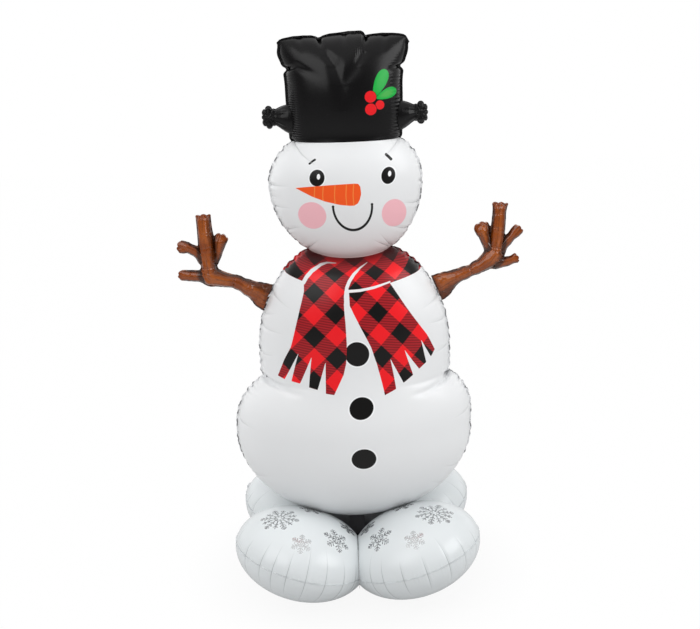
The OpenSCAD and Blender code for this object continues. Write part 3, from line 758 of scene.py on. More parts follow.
BRIM_MIDDLE = 185 * MM
BRIM_STATIONS = (
    # Way out, height over the brow, half height and half depth
    (104, 50, 0, 0), (104, 50, 24, 20), (124, 52, 38, 28), (136, 53, 36, 28), (146, 54.5, 32, 26),
    (154, 56, 28, 24),
    (160, 57, 24.5, 21), (165, 57.5, 21.5, 18), (168.5, 58, 20, 16), (171, 58, 21, 16), (175, 58, 23.5, 17),
    (181, 58, 26, 17), (187, 58, 26.5, 16), (193, 58, 24.5, 13.5), (197.5, 58, 19.5, 10), (200, 58, 13, 6),
    (200.8, 58, 6, 3), (201, 58, 0, 0))


def brim_mesh(side):
    """One blown-up end of the brim: an ellipse carried out along x through the stations, creased along its
    length. Past the neck it is a flower: its distance from the flower's middle rises and falls with the
    bearing, in eight petals."""
    knots = np.array(BRIM_STATIONS) * MM
    run = np.r_[0, np.cumsum(np.linalg.norm(np.diff(knots, axis=0), axis=1))]
    fine = np.linspace(0, run[-1], 130)
    out, high, tall, deep = (np.interp(fine, run, knots[:, k]) for k in range(4))
    turn = np.arange(144) / 144 * TAU
    gather = np.clip((out - 138 * MM) / (26 * MM), 0, 1)[:, None]
    crease = 1 - 0.16 * gather * np.abs(noise_line(turn / TAU * 18 + 3 * side, 42))
    y = deep[:, None] * np.cos(turn) * crease
    up = tall[:, None] * np.sin(turn) * crease
    across = out[:, None] - BRIM_MIDDLE + 0 * turn
    bearing = np.arctan2(up, across)
    petals = abs(np.cos(4 * bearing + 0.5 * noise_line(bearing * 1.5 + 40 + 9 * side, 44))) ** 0.55 - 0.72
    ruffle = 1 + 0.24 * petals * np.clip((fine - run[8]) / (run[10] - run[8]), 0, 1)[:, None]
    z = BROW + high[:, None] + up * ruffle
    x = side * (BRIM_MIDDLE + across * ruffle) + ease(z, LEAN_AT, LEAN)
    return np.stack([x, y * (0.3 + 0.7 * ruffle), z], -1)


# Values in a material's node tree

SOFT_EDGE = 0.8 * MM


def metres(points):
    return [(a * MM, b * MM) for a, b in points]


def add_node(tree, kind, inputs=None, **settings):
    """New node of a tree with its settings, and with a value or a wire in each input that is given."""
    node = tree.nodes.new("ShaderNode" + kind)
    for name, value in settings.items():
        setattr(node, name, value)
    for slot, value in (inputs or {}).items():
        if isinstance(value, Wire):
            tree.links.new(value.socket, node.inputs[slot])
        else:
            node.inputs[slot].default_value = value
    return node


class Wire:
    """A value in a node tree. Sums and comparisons on it add Math nodes."""

    def __init__(self, tree, socket):
        self.tree = tree
        self.socket = socket

    def math(self, kind, *others, clamp=False):
        inputs = dict(enumerate((self,) + others))
        node = add_node(self.tree, "Math", inputs, operation=kind, use_clamp=clamp)
        return Wire(self.tree, node.outputs[0])

    def __add__(self, other):
        return self.math("ADD", other)

    def __sub__(self, other):
        return self.math("SUBTRACT", other)

    def __rsub__(self, other):
        return self * -1 + other

    def __mul__(self, other):
        return self.math("MULTIPLY", other)

    def __truediv__(self, other):
        return self.math("DIVIDE", other)

    both = __mul__

    def either(self, other):
        return self.math("MAXIMUM", other)

    def without(self, other):
        return self * (1 - other)

    def clamped(self):
        return self.math("ADD", 0, clamp=True)

    def above(self, edge, soft=SOFT_EDGE):
        """1 where the value is above an edge, 0 below it, and a slope as wide as soft between them."""
        return ((self - edge) / soft).math("ADD", 0.5, clamp=True)

    def below(self, edge, soft=SOFT_EDGE):
        return self.above(edge, -soft)

    def curve(self, points):
        """Value, at this one, of a line drawn from point to point."""
        points = np.array(sorted(points), float)
        low, span = points.min(0), np.maximum(np.ptp(points, 0), 1e-9)
        share = (self - float(low[0])) / float(span[0])
        node = add_node(self.tree, "FloatCurve", {"Value": share})
        line = node.mapping.curves[0]
        while len(line.points) < len(points):
            line.points.new(0.5, 0.5)
        for knot, at in zip(line.points, (points - low) / span):
            knot.location = at
            knot.handle_type = "VECTOR"
        node.mapping.update()
        return Wire(self.tree, node.outputs[0]) * float(span[1]) + float(low[1])


def merged(kind, wires):
    """The largest or the smallest of several values."""
    return reduce(lambda a, b: a.math(kind, b), wires)


def far_from(x, z, centre, radii):
    """Signed distance from an ellipse, near its edge: (share of its radius - 1) times its mean radius."""
    u, v = (x - centre[0]) / radii[0], (z - centre[1]) / radii[1]
    return ((u * u + v * v).math("SQRT") - 1) * ((radii[0] + radii[1]) / 2)


def way_along(x, z, a, b):
    """Share of the way from a to b, from 0 to 1."""
    dx, dz = b[0] - a[0], b[1] - a[1]
    size = dx * dx + dz * dz
    return ((x - a[0]) * (dx / size) + (z - a[1]) * (dz / size)).clamped()


def far_from_line(x, z, a, b):
    """Distance from the stroke between a and b."""
    t = way_along(x, z, a, b)
    u, v = x - a[0] - t * (b[0] - a[0]), z - a[1] - t * (b[1] - a[1])
    return (u * u + v * v).math("SQRT")


def far_from_path(x, z, points):
    """Distance from a path of strokes, its points in millimetres."""
    points = metres(points)
    return merged("MINIMUM", [far_from_line(x, z, a, b) for a, b in zip(points, points[1:])])


class Finish:
    """A material with its Principled shader, to which paint is added layer by layer."""

    def __init__(self, name, roughness, specular=0.5):
        self.material = bpy.data.materials.new(name)
        self.material.use_nodes = True
        self.tree = self.material.node_tree
        self.shader = self.tree.nodes["Principled BSDF"]
        self.shader.inputs["Roughness"].default_value = roughness
        self.shader.inputs["Specular IOR Level"].default_value = specular
        self.paint = None

    def add(self, kind, output, inputs=None, **settings):
        """One output of a new node."""
        return Wire(self.tree, add_node(self.tree, kind, inputs, **settings).outputs[output])

    def value(self, name, output="Fac"):
        return self.add("Attribute", output, attribute_name=name)

    def split(self, name):
        node = add_node(self.tree, "SeparateXYZ", {0: self.value(name, "Vector")})
        return [Wire(self.tree, socket) for socket in node.outputs]

    def from_middle(self):
        """Distance from the upright line through the object's origin."""
        place = self.add("TexCoord", "Object")
        level = self.add("VectorMath", 0, {0: place, 1: (1, 1, 0)}, operation="MULTIPLY")
        return self.add("VectorMath", "Value", {0: level}, operation="LENGTH")

    def noise(self, scale, detail=2.0, roughness=0.5, stretch=None):
        place = self.add("TexCoord", "Object")
        if stretch:
            place = self.add("Mapping", "Vector", {"Vector": place, "Scale": stretch})
        return self.add("TexNoise", "Fac", {"Vector": place, "Scale": scale, "Detail": detail,
                                            "Roughness": roughness})

    def lay(self, rgb, mask=None):
        """Paint a colour over what is there, where the mask is 1."""
        if self.paint is None:
            self.paint = rgb
            return
        under, over = (v if isinstance(v, Wire) else (*v[:3], 1) for v in (self.paint, rgb))
        self.paint = self.add("Mix", 2, {0: mask, 6: under, 7: over}, data_type="RGBA")

    def bump(self, height, depth):
        node = add_node(self.tree, "Bump", {"Strength": 1, "Distance": depth, "Height": height})
        last = self.shader.inputs["Normal"]
        if last.is_linked:
            self.tree.links.new(last.links[0].from_socket, node.inputs["Normal"])
        self.tree.links.new(node.outputs["Normal"], last)

    def set(self, name, wire):
        self.tree.links.new(wire.socket, self.shader.inputs[name])

    def done(self, *pieces):
        self.set("Base Color", self.paint)
        for piece in pieces:
            piece.data.materials.clear()
            piece.data.materials.append(self.material)


def film_grain(finish, wave=0.5):
    """Slow unevenness of blown-up film and the fine crinkle that handling leaves in it."""
    finish.bump(finish.noise(9, 2.0), wave * MM)
    finish.bump(finish.noise(70, 3.0, 0.6), 0.05 * MM)


def seam_crinkle(finish, deep):
    """Fine folds that leave the side seams level and fade within a few centimetres."""
    near = (finish.value("seam") / (-16 * MM)).math("EXPONENT")
    finish.bump(finish.noise(1, 2.0, 0.6, (9, 9, 150)).both(near), deep)


LEFT_TAIL = {
    # Its edges as x over z, two guide lines and the cut ends over the share of the way between them
    "left": [(860, -100), (809, -111), (787, -112), (729, -129), (650, -156), (617, -174), (572, -194),
             (520, -210)],
    "right": [(860, 0), (800, -8), (760, -16), (715, -15), (662, -17), (615, -21), (587, -29), (539, -54),
              (520, -66)],
    "guides": ((637, -163, 0.479), (637, -19, 0.196)),
    "ends": [(-0.1, 575), (0, 572), (0.122, 566), (0.178, 637), (0.182, 637), (0.231, 564), (0.371, 561),
             (0.421, 629), (0.425, 629), (0.518, 554), (0.652, 549), (0.675, 618), (0.679, 618),
             (0.783, 541), (1.0, 536), (1.1, 535)]}
RIGHT_TAIL = {
    "left": [(860, -10), (788, -2), (757, -2), (701, 22), (653, 42), (611, 54), (576, 61), (533, 70),
             (520, 73)],
    "right": [(860, 70), (800, 100), (728, 145), (668, 182), (625, 201), (590, 214), (520, 235)],
    "guides": ((620, 51, -0.218), (658, 187, -0.42)),
    "ends": [(-0.1, 528), (0, 533), (0.184, 545), (0.241, 620), (0.245, 620), (0.318, 557), (0.5, 573),
             (0.517, 638), (0.521, 638), (0.625, 585), (0.775, 598), (0.852, 656), (0.856, 656),
             (0.886, 609), (1, 625), (1.1, 636)]}
WRAP_FRONT = [(-260, 848), (-170, 825), (-111, 810), (-100, 806), (95, 802), (100, 803), (191, 820),
              (260, 838)]
SCARF_LINES = (
    # White lines of the scarf's knot: path, and half width over x
    ([(-112, 808), (-104, 820), (-90, 834), (-67, 848), (-52, 852), (-30, 851)],
     [(-120, 4.8), (-104, 4.6), (-84, 3.9), (-66, 3.0), (-50, 1.6), (-30, 0.6)]),
    ([(46, 850), (28, 840), (12, 827), (0, 812), (-7, 798), (-11, 778), (-11, 755)],
     [(-20, 4.2), (0, 4.2), (12, 3.4), (28, 2.0), (46, 0.7)]),
    ([(-2, 790), (25, 791), (60, 796), (98, 805)], [(-10, 3.6), (25, 3.3), (60, 2.9), (98, 2.1)]))
WRAP_BACK = [(-260, 846), (-120, 812), (0, 800), (120, 808), (260, 840)]


PRINTS_AND_PAINTED_LIGHT = {
    # Colours of small prints, and of painted shade and painted highlights
    "white": (0.93, 0.94, 0.95), "hatch": (0.20, 0.008, 0.012), "neck": (0.05, 0.003, 0.004),
    "chin": (0.40, 0.12, 0.10), "nose_ring": (0.95, 0.25, 0.05), "crease": (0.50, 0.51, 0.52),
    "margin": (0.10, 0.10, 0.11), "berry": (0.84, 0.012, 0.018), "berry_edge": (0.01, 0.008, 0.008),
    "foot_gap_shade": (0.09, 0.085, 0.095), "foot_pleat_shade": (0.36, 0.38, 0.39), "foot_seam": (0.40, 0.42, 0.43),
    "flake": (0.10, 0.105, 0.11), "bark_highlight": (0.38, 0.094, 0.015), "bark_streak": (0.13, 0.033, 0.007),
    "bark_flank_shade": (0.075, 0.018, 0.004), "bark_margin_sheen": (0.50, 0.26, 0.18),
    "bark_crevice_shade": (0.018, 0.005, 0.002)}
# Prints in millimetres: middle and radii of the buttons, the cheeks and the eyes, and the middle of an eye's
# glint; path and half width of the eyebrows
BUTTONS = (((7, 638), (29.5, 30.5)), ((13, 505), (29.5, 27)), ((22, 378), (30.5, 26.5)))
CHEEKS = (((-80, 973), (34, 33.5)), ((117.5, 970), (30.5, 35)))
EYES = (((-66, 1064), (18, 19.5), (-62.5, 1067)), ((103.5, 1063), (17, 20), (106.5, 1067)))
GLINT = (4, 6.5)
EYEBROWS = (([(-85, 1097), (-79, 1102), (-72, 1106)], 2.4), ([(97, 1112), (103, 1106), (109, 1100)], 3.2))
SMILE = ((18, 995), (46.5, 60))
SMILE_ENDS = ((-28.5, 995), (64.5, 997))
NOSE_TOP = [(-118, 1040), (-100, 1042), (-78, 1044), (-35, 1047), (0, 1048.5), (24, 1049), (32, 1048),
            (37, 1041),
            (39.5, 1024)]
NOSE_LOW = [(-118, 1040), (-100, 1031), (-78, 1020), (-47, 1008), (-12, 999), (12, 996), (22, 996),
            (31, 1001),
            (36, 1010), (39.5, 1024)]
NOSE_RINGS = (-72, -52, -24, 3, 20)
# Leaves: base, tip, half width and the lighter green of the middle; berries: middle and radius
LEAVES = (((71, 1246), (102, 1308), 15, (0.018, 0.43, 0.062)),
    ((77, 1243), (126, 1260), 12.5, (0.07, 0.44, 0.08)))
BERRIES = (((85, 1227), 10.5), ((63, 1218), 13.5), ((63, 1247), 13.5))
FLAKES = (
    # Snowflakes of a cushion: middle, radius, turn and darkness
    ((81, 39), 50, 0.2, 0.5), ((17, 129), 27, 0.5, 0.12), ((-72, 79), 36, 0.1, 0.75),
    ((3, -39), 30, 0.9, 0.9),
    ((-101, -10), 25, 0.4, 0.9))
LARGE_FLAKE = 40
SPOKE = math.pi / 6
FLAKE_STROKES = (
    # Strokes in one twelfth of a small and of a large flake: start along a spoke, the spoke's angle, the
    # stroke's turn from it and its length
    ((0.10, 0, 0, 0.90), (0.22, 0, 0.96, 0.18), (0.44, 0, 0.96, 0.30), (0.68, 0, 0.96, 0.26),
    (0.86, 0, 0.96, 0.14)),
    ((0.12, 0, 0, 0.88), (0.42, 0, 0.8, 0.15), (0.60, 0, 0.8, 0.19), (0.78, 0, 0.8, 0.17),
    (0.90, 0, 0.8, 0.10),
     (0.24, SPOKE, 0, 0.64), (0.50, SPOKE, -0.8, 0.12), (0.68, SPOKE, -0.8, 0.14), (0.20, 0, 1.2, 0.09)))


def tail_mask(x, z, tail):
    """Scarf tail: between its two edges, drawn as x over z, and above its cut ends, drawn over the share of
    the way between two guide lines."""
    inside = (x - z.curve(metres(tail["left"]))).above(0).both((z.curve(metres(tail["right"])) - x).above(0))
    first, last = ((z - at * MM) * slope + edge * MM for at, edge, slope in tail["guides"])
    ends = ((x - first) / (last - first)).curve([(a, b * MM) for a, b in tail["ends"]])
    return inside.both((z - ends).above(0)).both(z.below(862 * MM))


def plaid(x, run):
    """Check cloth on its point: two sets of stripes, black where both cross and hatched where one runs. The
    stripes are counted by two slightly bent fields over x and the way up the film, closer at the collar's
    ends."""
    over = (x.math("ABSOLUTE") - 0.12).math("MAXIMUM", 0).both(run.above(0.745, 0.03))
    u, v = (over * over * 16 + 1) * x / 0.1, (run - 0.6439) / 0.1
    uu, uv, vv = u * u, u * v, v * v
    rise = u * 0.973 - v * 0.958 - uu * 0.021 + uv * 0.054 - vv * 0.026 + 0.435
    fall = u * -0.956 - v * 0.926 - uu * 0.051 - uv * 0.050 - vv * 0.035 - 0.290
    first, second = (count.math("PINGPONG", 0.5).below(0.25, 0.02) for count in (rise, fall))
    hatch = (run + x * 0.16).math("PINGPONG", 3.2 * MM).below(1.35 * MM, 1.6 * MM)
    return first.either(second), first.both(second), hatch


def snow_print(finish, colours, neck_run):
    """Face, buttons and scarf printed on the white film, in the film's own flat places, and painted shade
    under the chin.
    """
    x, run, z = finish.split("place")
    front = finish.value("side").below(0, 0.02)

    def ellipse(centre, radii):
        return far_from(x, z, *metres((centre, radii)))

    def on_front(rgb, mask):
        finish.lay(rgb, mask.both(front))

    def black_spot(centre, radii, rim):
        far = ellipse(centre, radii)
        on_front(PRINTS_AND_PAINTED_LIGHT["white"], far.below(rim * MM))
        on_front(colours.ink, far.below(0))

    for centre, radii in BUTTONS:
        black_spot(centre, radii, 3.4)
    scarf = tail_mask(x, z, LEFT_TAIL).either(tail_mask(x, z, RIGHT_TAIL)).both(front)
    wrap_low = x.curve(metres(WRAP_FRONT)) * front + x.curve(metres(WRAP_BACK)) * (1 - front)
    scarf = scarf.either((z - wrap_low).above(0)).both(run.below(neck_run))
    lines = merged("MAXIMUM", [(far_from_path(x, z, path) - x.curve(metres(widths))).below(0)
                               for path, widths in SCARF_LINES])
    scarf = scarf.without(lines.both(front))
    stripe, cross, hatch = plaid(x, run)
    finish.lay(colours.scarf, scarf)
    finish.lay(colours.scarf_dark, scarf.both(stripe))
    finish.lay(PRINTS_AND_PAINTED_LIGHT["hatch"], scarf.both(stripe).both(hatch))
    finish.lay(colours.ink, scarf.both(cross))
    # Painted shade under the chin: dark red on the collar below the neck's line, and a reddish painted shade
    # with the scarf's red bounce on the chin above it
    down = (run - neck_run) / (31 * MM)
    finish.lay(PRINTS_AND_PAINTED_LIGHT["neck"], (down * down * -1).math("EXPONENT").both(run.below(neck_run)).both(0.86))
    up = ((run - neck_run) / (-30 * MM)).math("EXPONENT").both(run.above(neck_run))
    finish.lay(PRINTS_AND_PAINTED_LIGHT["chin"], up.both(0.6))
    # Face
    for centre, radii in CHEEKS:
        on_front(colours.cheek, ellipse(centre, radii).below(0))
    for centre, radii, glint in EYES:
        black_spot(centre, radii, 2.6)
        on_front(PRINTS_AND_PAINTED_LIGHT["white"], ellipse(glint, GLINT).below(0))
    brows = [far_from_path(x, z, path).below(half * MM) for path, half in EYEBROWS]
    on_front(colours.ink, merged("MAXIMUM", brows))
    smile = ellipse(*SMILE).math("ABSOLUTE").below(3 * MM).both(z.below(SMILE[0][1] * MM))
    ends = [ellipse(end, (3.2, 3.2)).below(0) for end in SMILE_ENDS]
    on_front(colours.ink, merged("MAXIMUM", [smile] + ends))
    top, low = (x.curve(metres(line)) for line in (NOSE_TOP, NOSE_LOW))
    nose = (top - z).above(0).both((z - low).above(0)).both(x.above(-117.5 * MM)).both(x.below(39 * MM))
    bend = (z - 1022 * MM).math("ABSOLUTE") * 0.05
    rings = [(x - at * MM - bend).math("ABSOLUTE").below(1.1 * MM, 1.4 * MM) for at in NOSE_RINGS]
    on_front(colours.carrot, nose)
    on_front(PRINTS_AND_PAINTED_LIGHT["nose_ring"], nose.both(merged("MAXIMUM", rings)))


def snow_finish(colours, piece, neck_run):
    """Satin white film with its print, thin creases shaded with painted grey, and dark dashes of painted
    reflection along the sealed margin.
    """
    finish = Finish("white_film", 0.28, 0.25)
    finish.lay(colours.snow)
    snow_print(finish, colours, neck_run)
    x, _, z = finish.split("place")
    x = x * (1 - finish.value("side").above(0, 0.02) * 2)
    lines = []
    for start, end, deep, last in CREASES:
        a, b = metres((start, end))
        far, way = far_from_line(x, z, a, b), way_along(x, z, a, b)
        lines.append(far.below(1.1 * MM, 2.0 * MM).both(way * (last - deep) + deep))
    creases = merged("MAXIMUM", lines)
    # Grey painted into the creases: painted shade
    finish.lay(PRINTS_AND_PAINTED_LIGHT["crease"], creases.both(0.45))
    finish.bump(creases, -0.9 * MM)
    seam_crinkle(finish, 0.7 * MM)
    # Dark dashes along the sealed margin: painted reflection of the seam's small pleats
    dash = finish.noise(52, 1.0).above(0.52, 0.05).both(finish.value("rim").above(0.45, 0.3))
    finish.lay(PRINTS_AND_PAINTED_LIGHT["margin"], dash.both(0.85))
    film_grain(finish, 0.6)
    finish.done(piece)


def hat_finish(colours, *pieces):
    """Glossy black film with the holly sprig, ribbed beside its side seams and under its top seam."""
    finish = Finish("black_film", 0.27, 0.24)
    finish.lay(colours.hat)
    x, _, z = finish.split("place")
    front = finish.value("side").below(0, 0.02)
    for base, tip, wide, light in LEAVES:
        dx, dz = tip[0] - base[0], tip[1] - base[1]
        turn, half = math.atan2(dz, dx), math.hypot(dx, dz) / 2
        c, s = math.cos(turn), math.sin(turn)
        mx, mz = ((a + b) / 2 * MM for a, b in zip(base, tip))
        u = ((x - mx) * c + (z - mz) * s) / (half * MM)
        v = ((z - mz) * c - (x - mx) * s) / (wide * MM) / (u * 0.32 + 0.92)
        far = ((u * u + v * v).math("SQRT") - 1) * (wide * MM)
        finish.lay(colours.holly, far.below(0).both(front))
        finish.lay(light, far.below(-5 * MM, 6 * MM).both(front))
    for centre, radius in BERRIES:
        far = far_from(x, z, *metres((centre, (radius, radius))))
        finish.lay(PRINTS_AND_PAINTED_LIGHT["berry_edge"], far.below(1.2 * MM).both(front))
        finish.lay(PRINTS_AND_PAINTED_LIGHT["berry"], far.below(0).both(front))
    seam, shift = finish.value("seam"), (finish.noise(14, 1.0) - 0.5) * 9
    left_pitch, right_pitch, top_pitch = (TAU / (gap * MM) for gap in (5.6, 8.6, 5))
    pitch = x.above(0, 0.01) * (right_pitch - left_pitch) + left_pitch
    sides = seam.above(7 * MM, 6 * MM).both(seam.below(42 * MM, 36 * MM)).both(z.above(BROW + 6 * MM, 8 * MM))
    sides = sides.both(z.below(NOTCH - 28 * MM, 24 * MM))
    finish.bump((z * pitch + shift).math("SINE").both(sides), 1.3 * MM)
    top = (x - 28 * MM).math("ABSOLUTE").below(24 * MM, 16 * MM).both(z.above(TOP - 44 * MM, 30 * MM))
    finish.bump((x * top_pitch + shift).math("SINE").both(top), 0.45 * MM)
    seam_crinkle(finish, 0.9 * MM)
    film_grain(finish, 0.8)
    finish.done(*pieces)


def foot_finish(colours, *pieces):
    """White film, darkened a little as painted shade, with silver snowflakes on top, painted shade between
    the cushions and grey lines of painted shade along the pleats across the seam.
    """
    finish = Finish("foot_film", 0.24, 0.4)
    # The white a little darker and bluer than the figure's: painted shade of the cushions under the belly
    finish.lay([share * c for share, c in zip((0.89, 0.92, 0.925), colours.snow)])
    # Dark round the middle of the foot, on the cushions' inner faces: painted shade in the gap between them
    finish.lay(PRINTS_AND_PAINTED_LIGHT["foot_gap_shade"], finish.from_middle().below(75 * MM, 60 * MM).both(0.8))
    u, v, above = finish.split("flat")
    flakes = []
    for centre, radius, turn, tone in FLAKES:
        large, size = radius > LARGE_FLAKE, radius * MM
        dx, dy = u - centre[0] * MM, v - centre[1] * MM
        away = (dx * dx + dy * dy).math("SQRT")
        folded = (dy.math("ARCTAN2", dx) + (turn + TAU)).math("PINGPONG", SPOKE)
        a, b = away * folded.math("COSINE"), away * folded.math("SINE")
        strokes = []
        for at, way, bend, reach in FLAKE_STROKES[large]:
            start = size * at * np.array((math.cos(way), math.sin(way)))
            tip = start + size * reach * np.array((math.cos(way + bend), math.sin(way + bend)))
            strokes.append(far_from_line(a, b, start.tolist(), tip.tolist()))
        mask = merged("MINIMUM", strokes).below(1.5 * MM if large else 1.3 * MM, 1.0 * MM)
        flakes.append((mask, mask * tone))
    upper = above.above(0.5, 0.1)
    silver, shade = (merged("MAXIMUM", layer).both(upper) for layer in zip(*flakes))
    shade = shade.both(finish.noise(150, 1.0).above(0.46, 0.16) * 0.75 + 0.25)
    # Grey lines along the pleats: painted shade in their folds
    pleat = finish.value("pleat").below(0.7 * MM, 0.9 * MM).both(finish.value("fade")).both(0.8)
    finish.lay(PRINTS_AND_PAINTED_LIGHT["foot_pleat_shade"], pleat)
    seam = finish.value("seam").below(0.5, 0.6).both(finish.noise(34, 2.0).above(0.44, 0.2)).both(0.5)
    finish.lay(PRINTS_AND_PAINTED_LIGHT["foot_seam"], seam)
    finish.lay(colours.silver, silver)
    finish.lay(PRINTS_AND_PAINTED_LIGHT["flake"], shade)
    finish.set("Metallic", silver)
    film_grain(finish, 0.5)
    finish.done(*pieces)


def bark_finish(colours, *pieces):
    """Glossy brown film: a lighter middle, a painted highlight in uneven patches, with streaks along each
    limb; dark print along the edges; painted shade along one flank, at the stubs' bases and in the crevices
    between limbs; and dashes of painted sheen along the sealed margin."""
    finish = Finish("bark_film", 0.14, 0.5)
    edge, along, left, end = (finish.value(name) for name in ("edge", "along", "left", "end"))
    finish.lay(colours.bark)
    patch = finish.noise(22, 3.0, 0.6, (1, 0.3, 1))
    drift = patch - 0.5
    grain = finish.noise(58, 3.0, 0.65)
    # Lighter away from the edges, in patches: painted highlight along the limbs' middles
    finish.lay(PRINTS_AND_PAINTED_LIGHT["bark_highlight"], (drift * 4 + 0.55).clamped().both(edge.above(9 * MM, 10 * MM)))
    streak = ((left + drift * (16 * MM)) * 520 + along * 3).math("SINE").above(0.65, 0.6)
    finish.lay(PRINTS_AND_PAINTED_LIGHT["bark_streak"], streak.both(((grain - 0.40) * 5).clamped()).both(0.65))
    # Dark along one flank of each limb, on the same side of both hands: painted shade
    flank = (left + drift * (9 * MM)).above(10.5 * MM, 9 * MM)
    finish.lay(PRINTS_AND_PAINTED_LIGHT["bark_flank_shade"], flank.both(0.8).without(end.both(0.7)))
    rim = (edge + drift * (8 * MM)).below(4.2 * MM, 3 * MM)
    finish.lay(colours.bark_dark, rim.without(end.both(0.85)).both(0.92))
    # Dark at the stubs' bases, next to the limb they spring from: painted shade
    finish.lay(colours.bark_dark, (finish.value("base") + drift * 0.8).above(0.55, 0.45).both(0.9))
    # Light dashes along the sealed margin: painted sheen of the margin
    dash = finish.noise(46, 1.0).above(0.56, 0.06).both(edge.below(2.2 * MM, 1.4 * MM))
    finish.lay(PRINTS_AND_PAINTED_LIGHT["bark_margin_sheen"], dash.both(0.6))
    # Near-black in the crevices between limbs: painted shade
    finish.lay(PRINTS_AND_PAINTED_LIGHT["bark_crevice_shade"], finish.value("crevice").above(0.35, 0.5).both(0.95))
    film_grain(finish, 0.5)
    finish.done(*pieces)


def clear_finish(name, rgb, roughness, *pieces, clear=0.35):
    """Milky clear film or tape, with faint draw lines."""
    finish = Finish(name, roughness, 0.5)
    finish.lay(rgb)
    finish.shader.inputs["Transmission Weight"].default_value = clear
    lines = finish.noise(40, 2.0, 0.5, (6, 6, 0.4))
    finish.lay([0.86 * c for c in rgb], ((lines - 0.5) * 4).clamped().both(0.5))
    finish.bump(lines, 0.1 * MM)
    finish.done(*pieces)


class SNOWMAN_OT_figure(bpy.types.Operator):
    """Belly, torso, head and hat: one settled film, white up to the brow and black above it"""

    bl_idname = "snowman.figure"
    bl_label = "Figure film"

    def execute(self, context):
        sizes, colours = context.scene.snowman_sizes, context.scene.snowman_colours
        film, place, side, seam_far, brow = settle_figure(sizes)
        rim = np.zeros(side.shape)
        rim[:, [0, PANEL + 1]] = 1
        columns = film.shape[1]
        centre = film[brow].mean(0)
        inside = centre + (film[brow] - centre) * np.array([0, 0.5, 0.98])[:, None, None]
        lid = np.full(3, brow)

        def half(rows, points, name, poles, join=None):
            faces = grid_faces(len(points), columns, poles, join)
            floats = {"side": side[rows], "rim": rim[rows], "seam": seam_far[rows]}
            vectors = {"place": place[rows]}
            return make_piece(name, points.reshape(-1, 3), faces, "stand", name, floats, vectors)

        white = half(np.r_[:brow + 1, lid], np.concatenate([film[:brow + 1], inside[::-1]]), "figure_film",
                     (True, True))
        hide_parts(*[f"{part}_{face}_foil" for part in ("belly", "torso", "head")
                             for face in ("front", "back")])
        join = np.r_[np.arange(PANEL + 2), np.arange(PANEL, 0, -1)]
        black = half(np.r_[lid, brow:len(film)], np.concatenate([inside, film[brow:]]), "hat_film",
                     (True, False), join)
        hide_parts("hat_front_foil", "hat_back_foil")
        ends = []
        for name, way in SIDES:
            grid = brim_mesh(way)
            shape = grid.shape[:2]
            end = round_piece(f"{name}_brim_film", grid, "hat_film", vectors={"place": np.zeros(grid.shape)},
                              floats={"side": np.ones(shape), "seam": np.full(shape, 20 * MM)})
            ends.append(end)
        middle = PANEL + 2 + PANEL // 2
        neck_run = np.interp(NECK, place[3:, 1, 2], place[3:, middle, 1])
        snow_finish(colours, white, float(neck_run))
        hat_finish(colours, black, *ends)
        return {"FINISHED"}


class SNOWMAN_OT_feet(bpy.types.Operator):
    """Four foot cushions of white film"""

    bl_idname = "snowman.feet"
    bl_label = "Foot cushions"

    def execute(self, context):
        sizes, colours = context.scene.snowman_sizes, context.scene.snowman_colours
        pieces = []
        for row, sy, share, height in FOOT_ROWS:
            for name, sx in SIDES:
                film, flat, pleat, fade = settle_lobe(sizes, sx, sy, share * sizes.lobe_half, height)
                seam = np.ones(pleat.shape)
                seam[LOBE_ROWS - 1:LOBE_ROWS + 2] = 0
                floats = {"pleat": pleat, "fade": fade, "seam": seam}
                piece = round_piece(f"{row}_{name}_cushion_film", film, "foot_film", floats=floats,
                                    vectors={"flat": flat})
                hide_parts(f"{row}_{name}_lobe_top", f"{row}_{name}_lobe_bottom")
                pieces.append(piece)
        foot_finish(colours, *pieces)
        return {"FINISHED"}


class SNOWMAN_OT_hands(bpy.types.Operator):
    """Two brown twig hands"""

    bl_idname = "snowman.hands"
    bl_label = "Hands"

    def execute(self, context):
        pieces = []
        for name, side in SIDES:
            points, faces, floats = hand_mesh(side)
            piece = make_piece(f"{name}_hand_film", points, faces, None, "hand_film", floats=floats)
            start, end = (root_place(side, way) for way in BEND)
            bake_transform(piece)
            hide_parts(f"{name}_arm_front_foil", f"{name}_arm_back_foil")
            pieces.append(piece)
        bark_finish(context.scene.snowman_colours, *pieces)
        return {"FINISHED"}


class SNOWMAN_OT_fittings(bpy.types.Operator):
    """Valves, the strap and the web between the cushions keep their solids and get their finishes; the tapes
    on the hands' roots follow the film"""

    bl_idname = "snowman.fittings"
    bl_label = "Fittings"

    def execute(self, context):
        nodes = frame["nodes"]
        clear_finish("valve_film", (0.80, 0.84, 0.88), 0.25, *[nodes[n] for n in (
            "figure_valve_tail", "base_valve_tail", "figure_valve_sleeve")])
        clear_finish("valve_patch", (0.84, 0.85, 0.86), 0.35, nodes["figure_valve_patch"],
                     nodes["base_valve_collar"])
        strips = []
        for name, side in SIDES:
            strip = round_piece(f"{name}_seal_tape", strip_mesh(side), "tape")
            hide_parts(f"{name}_arm_seal_strip")
            strips.append(strip)
        clear_finish("tape", (0.78, 0.80, 0.80), 0.2, *strips)
        # The strap and the web are dark so that the gap under the belly reads dark: painted shade
        clear_finish("strap_film", (0.17, 0.165, 0.18), 0.4, nodes["anchor_strap"], clear=0)
        clear_finish("web_film", (0.05, 0.05, 0.055), 0.4, nodes["base_web"], clear=0)
        return {"FINISHED"}


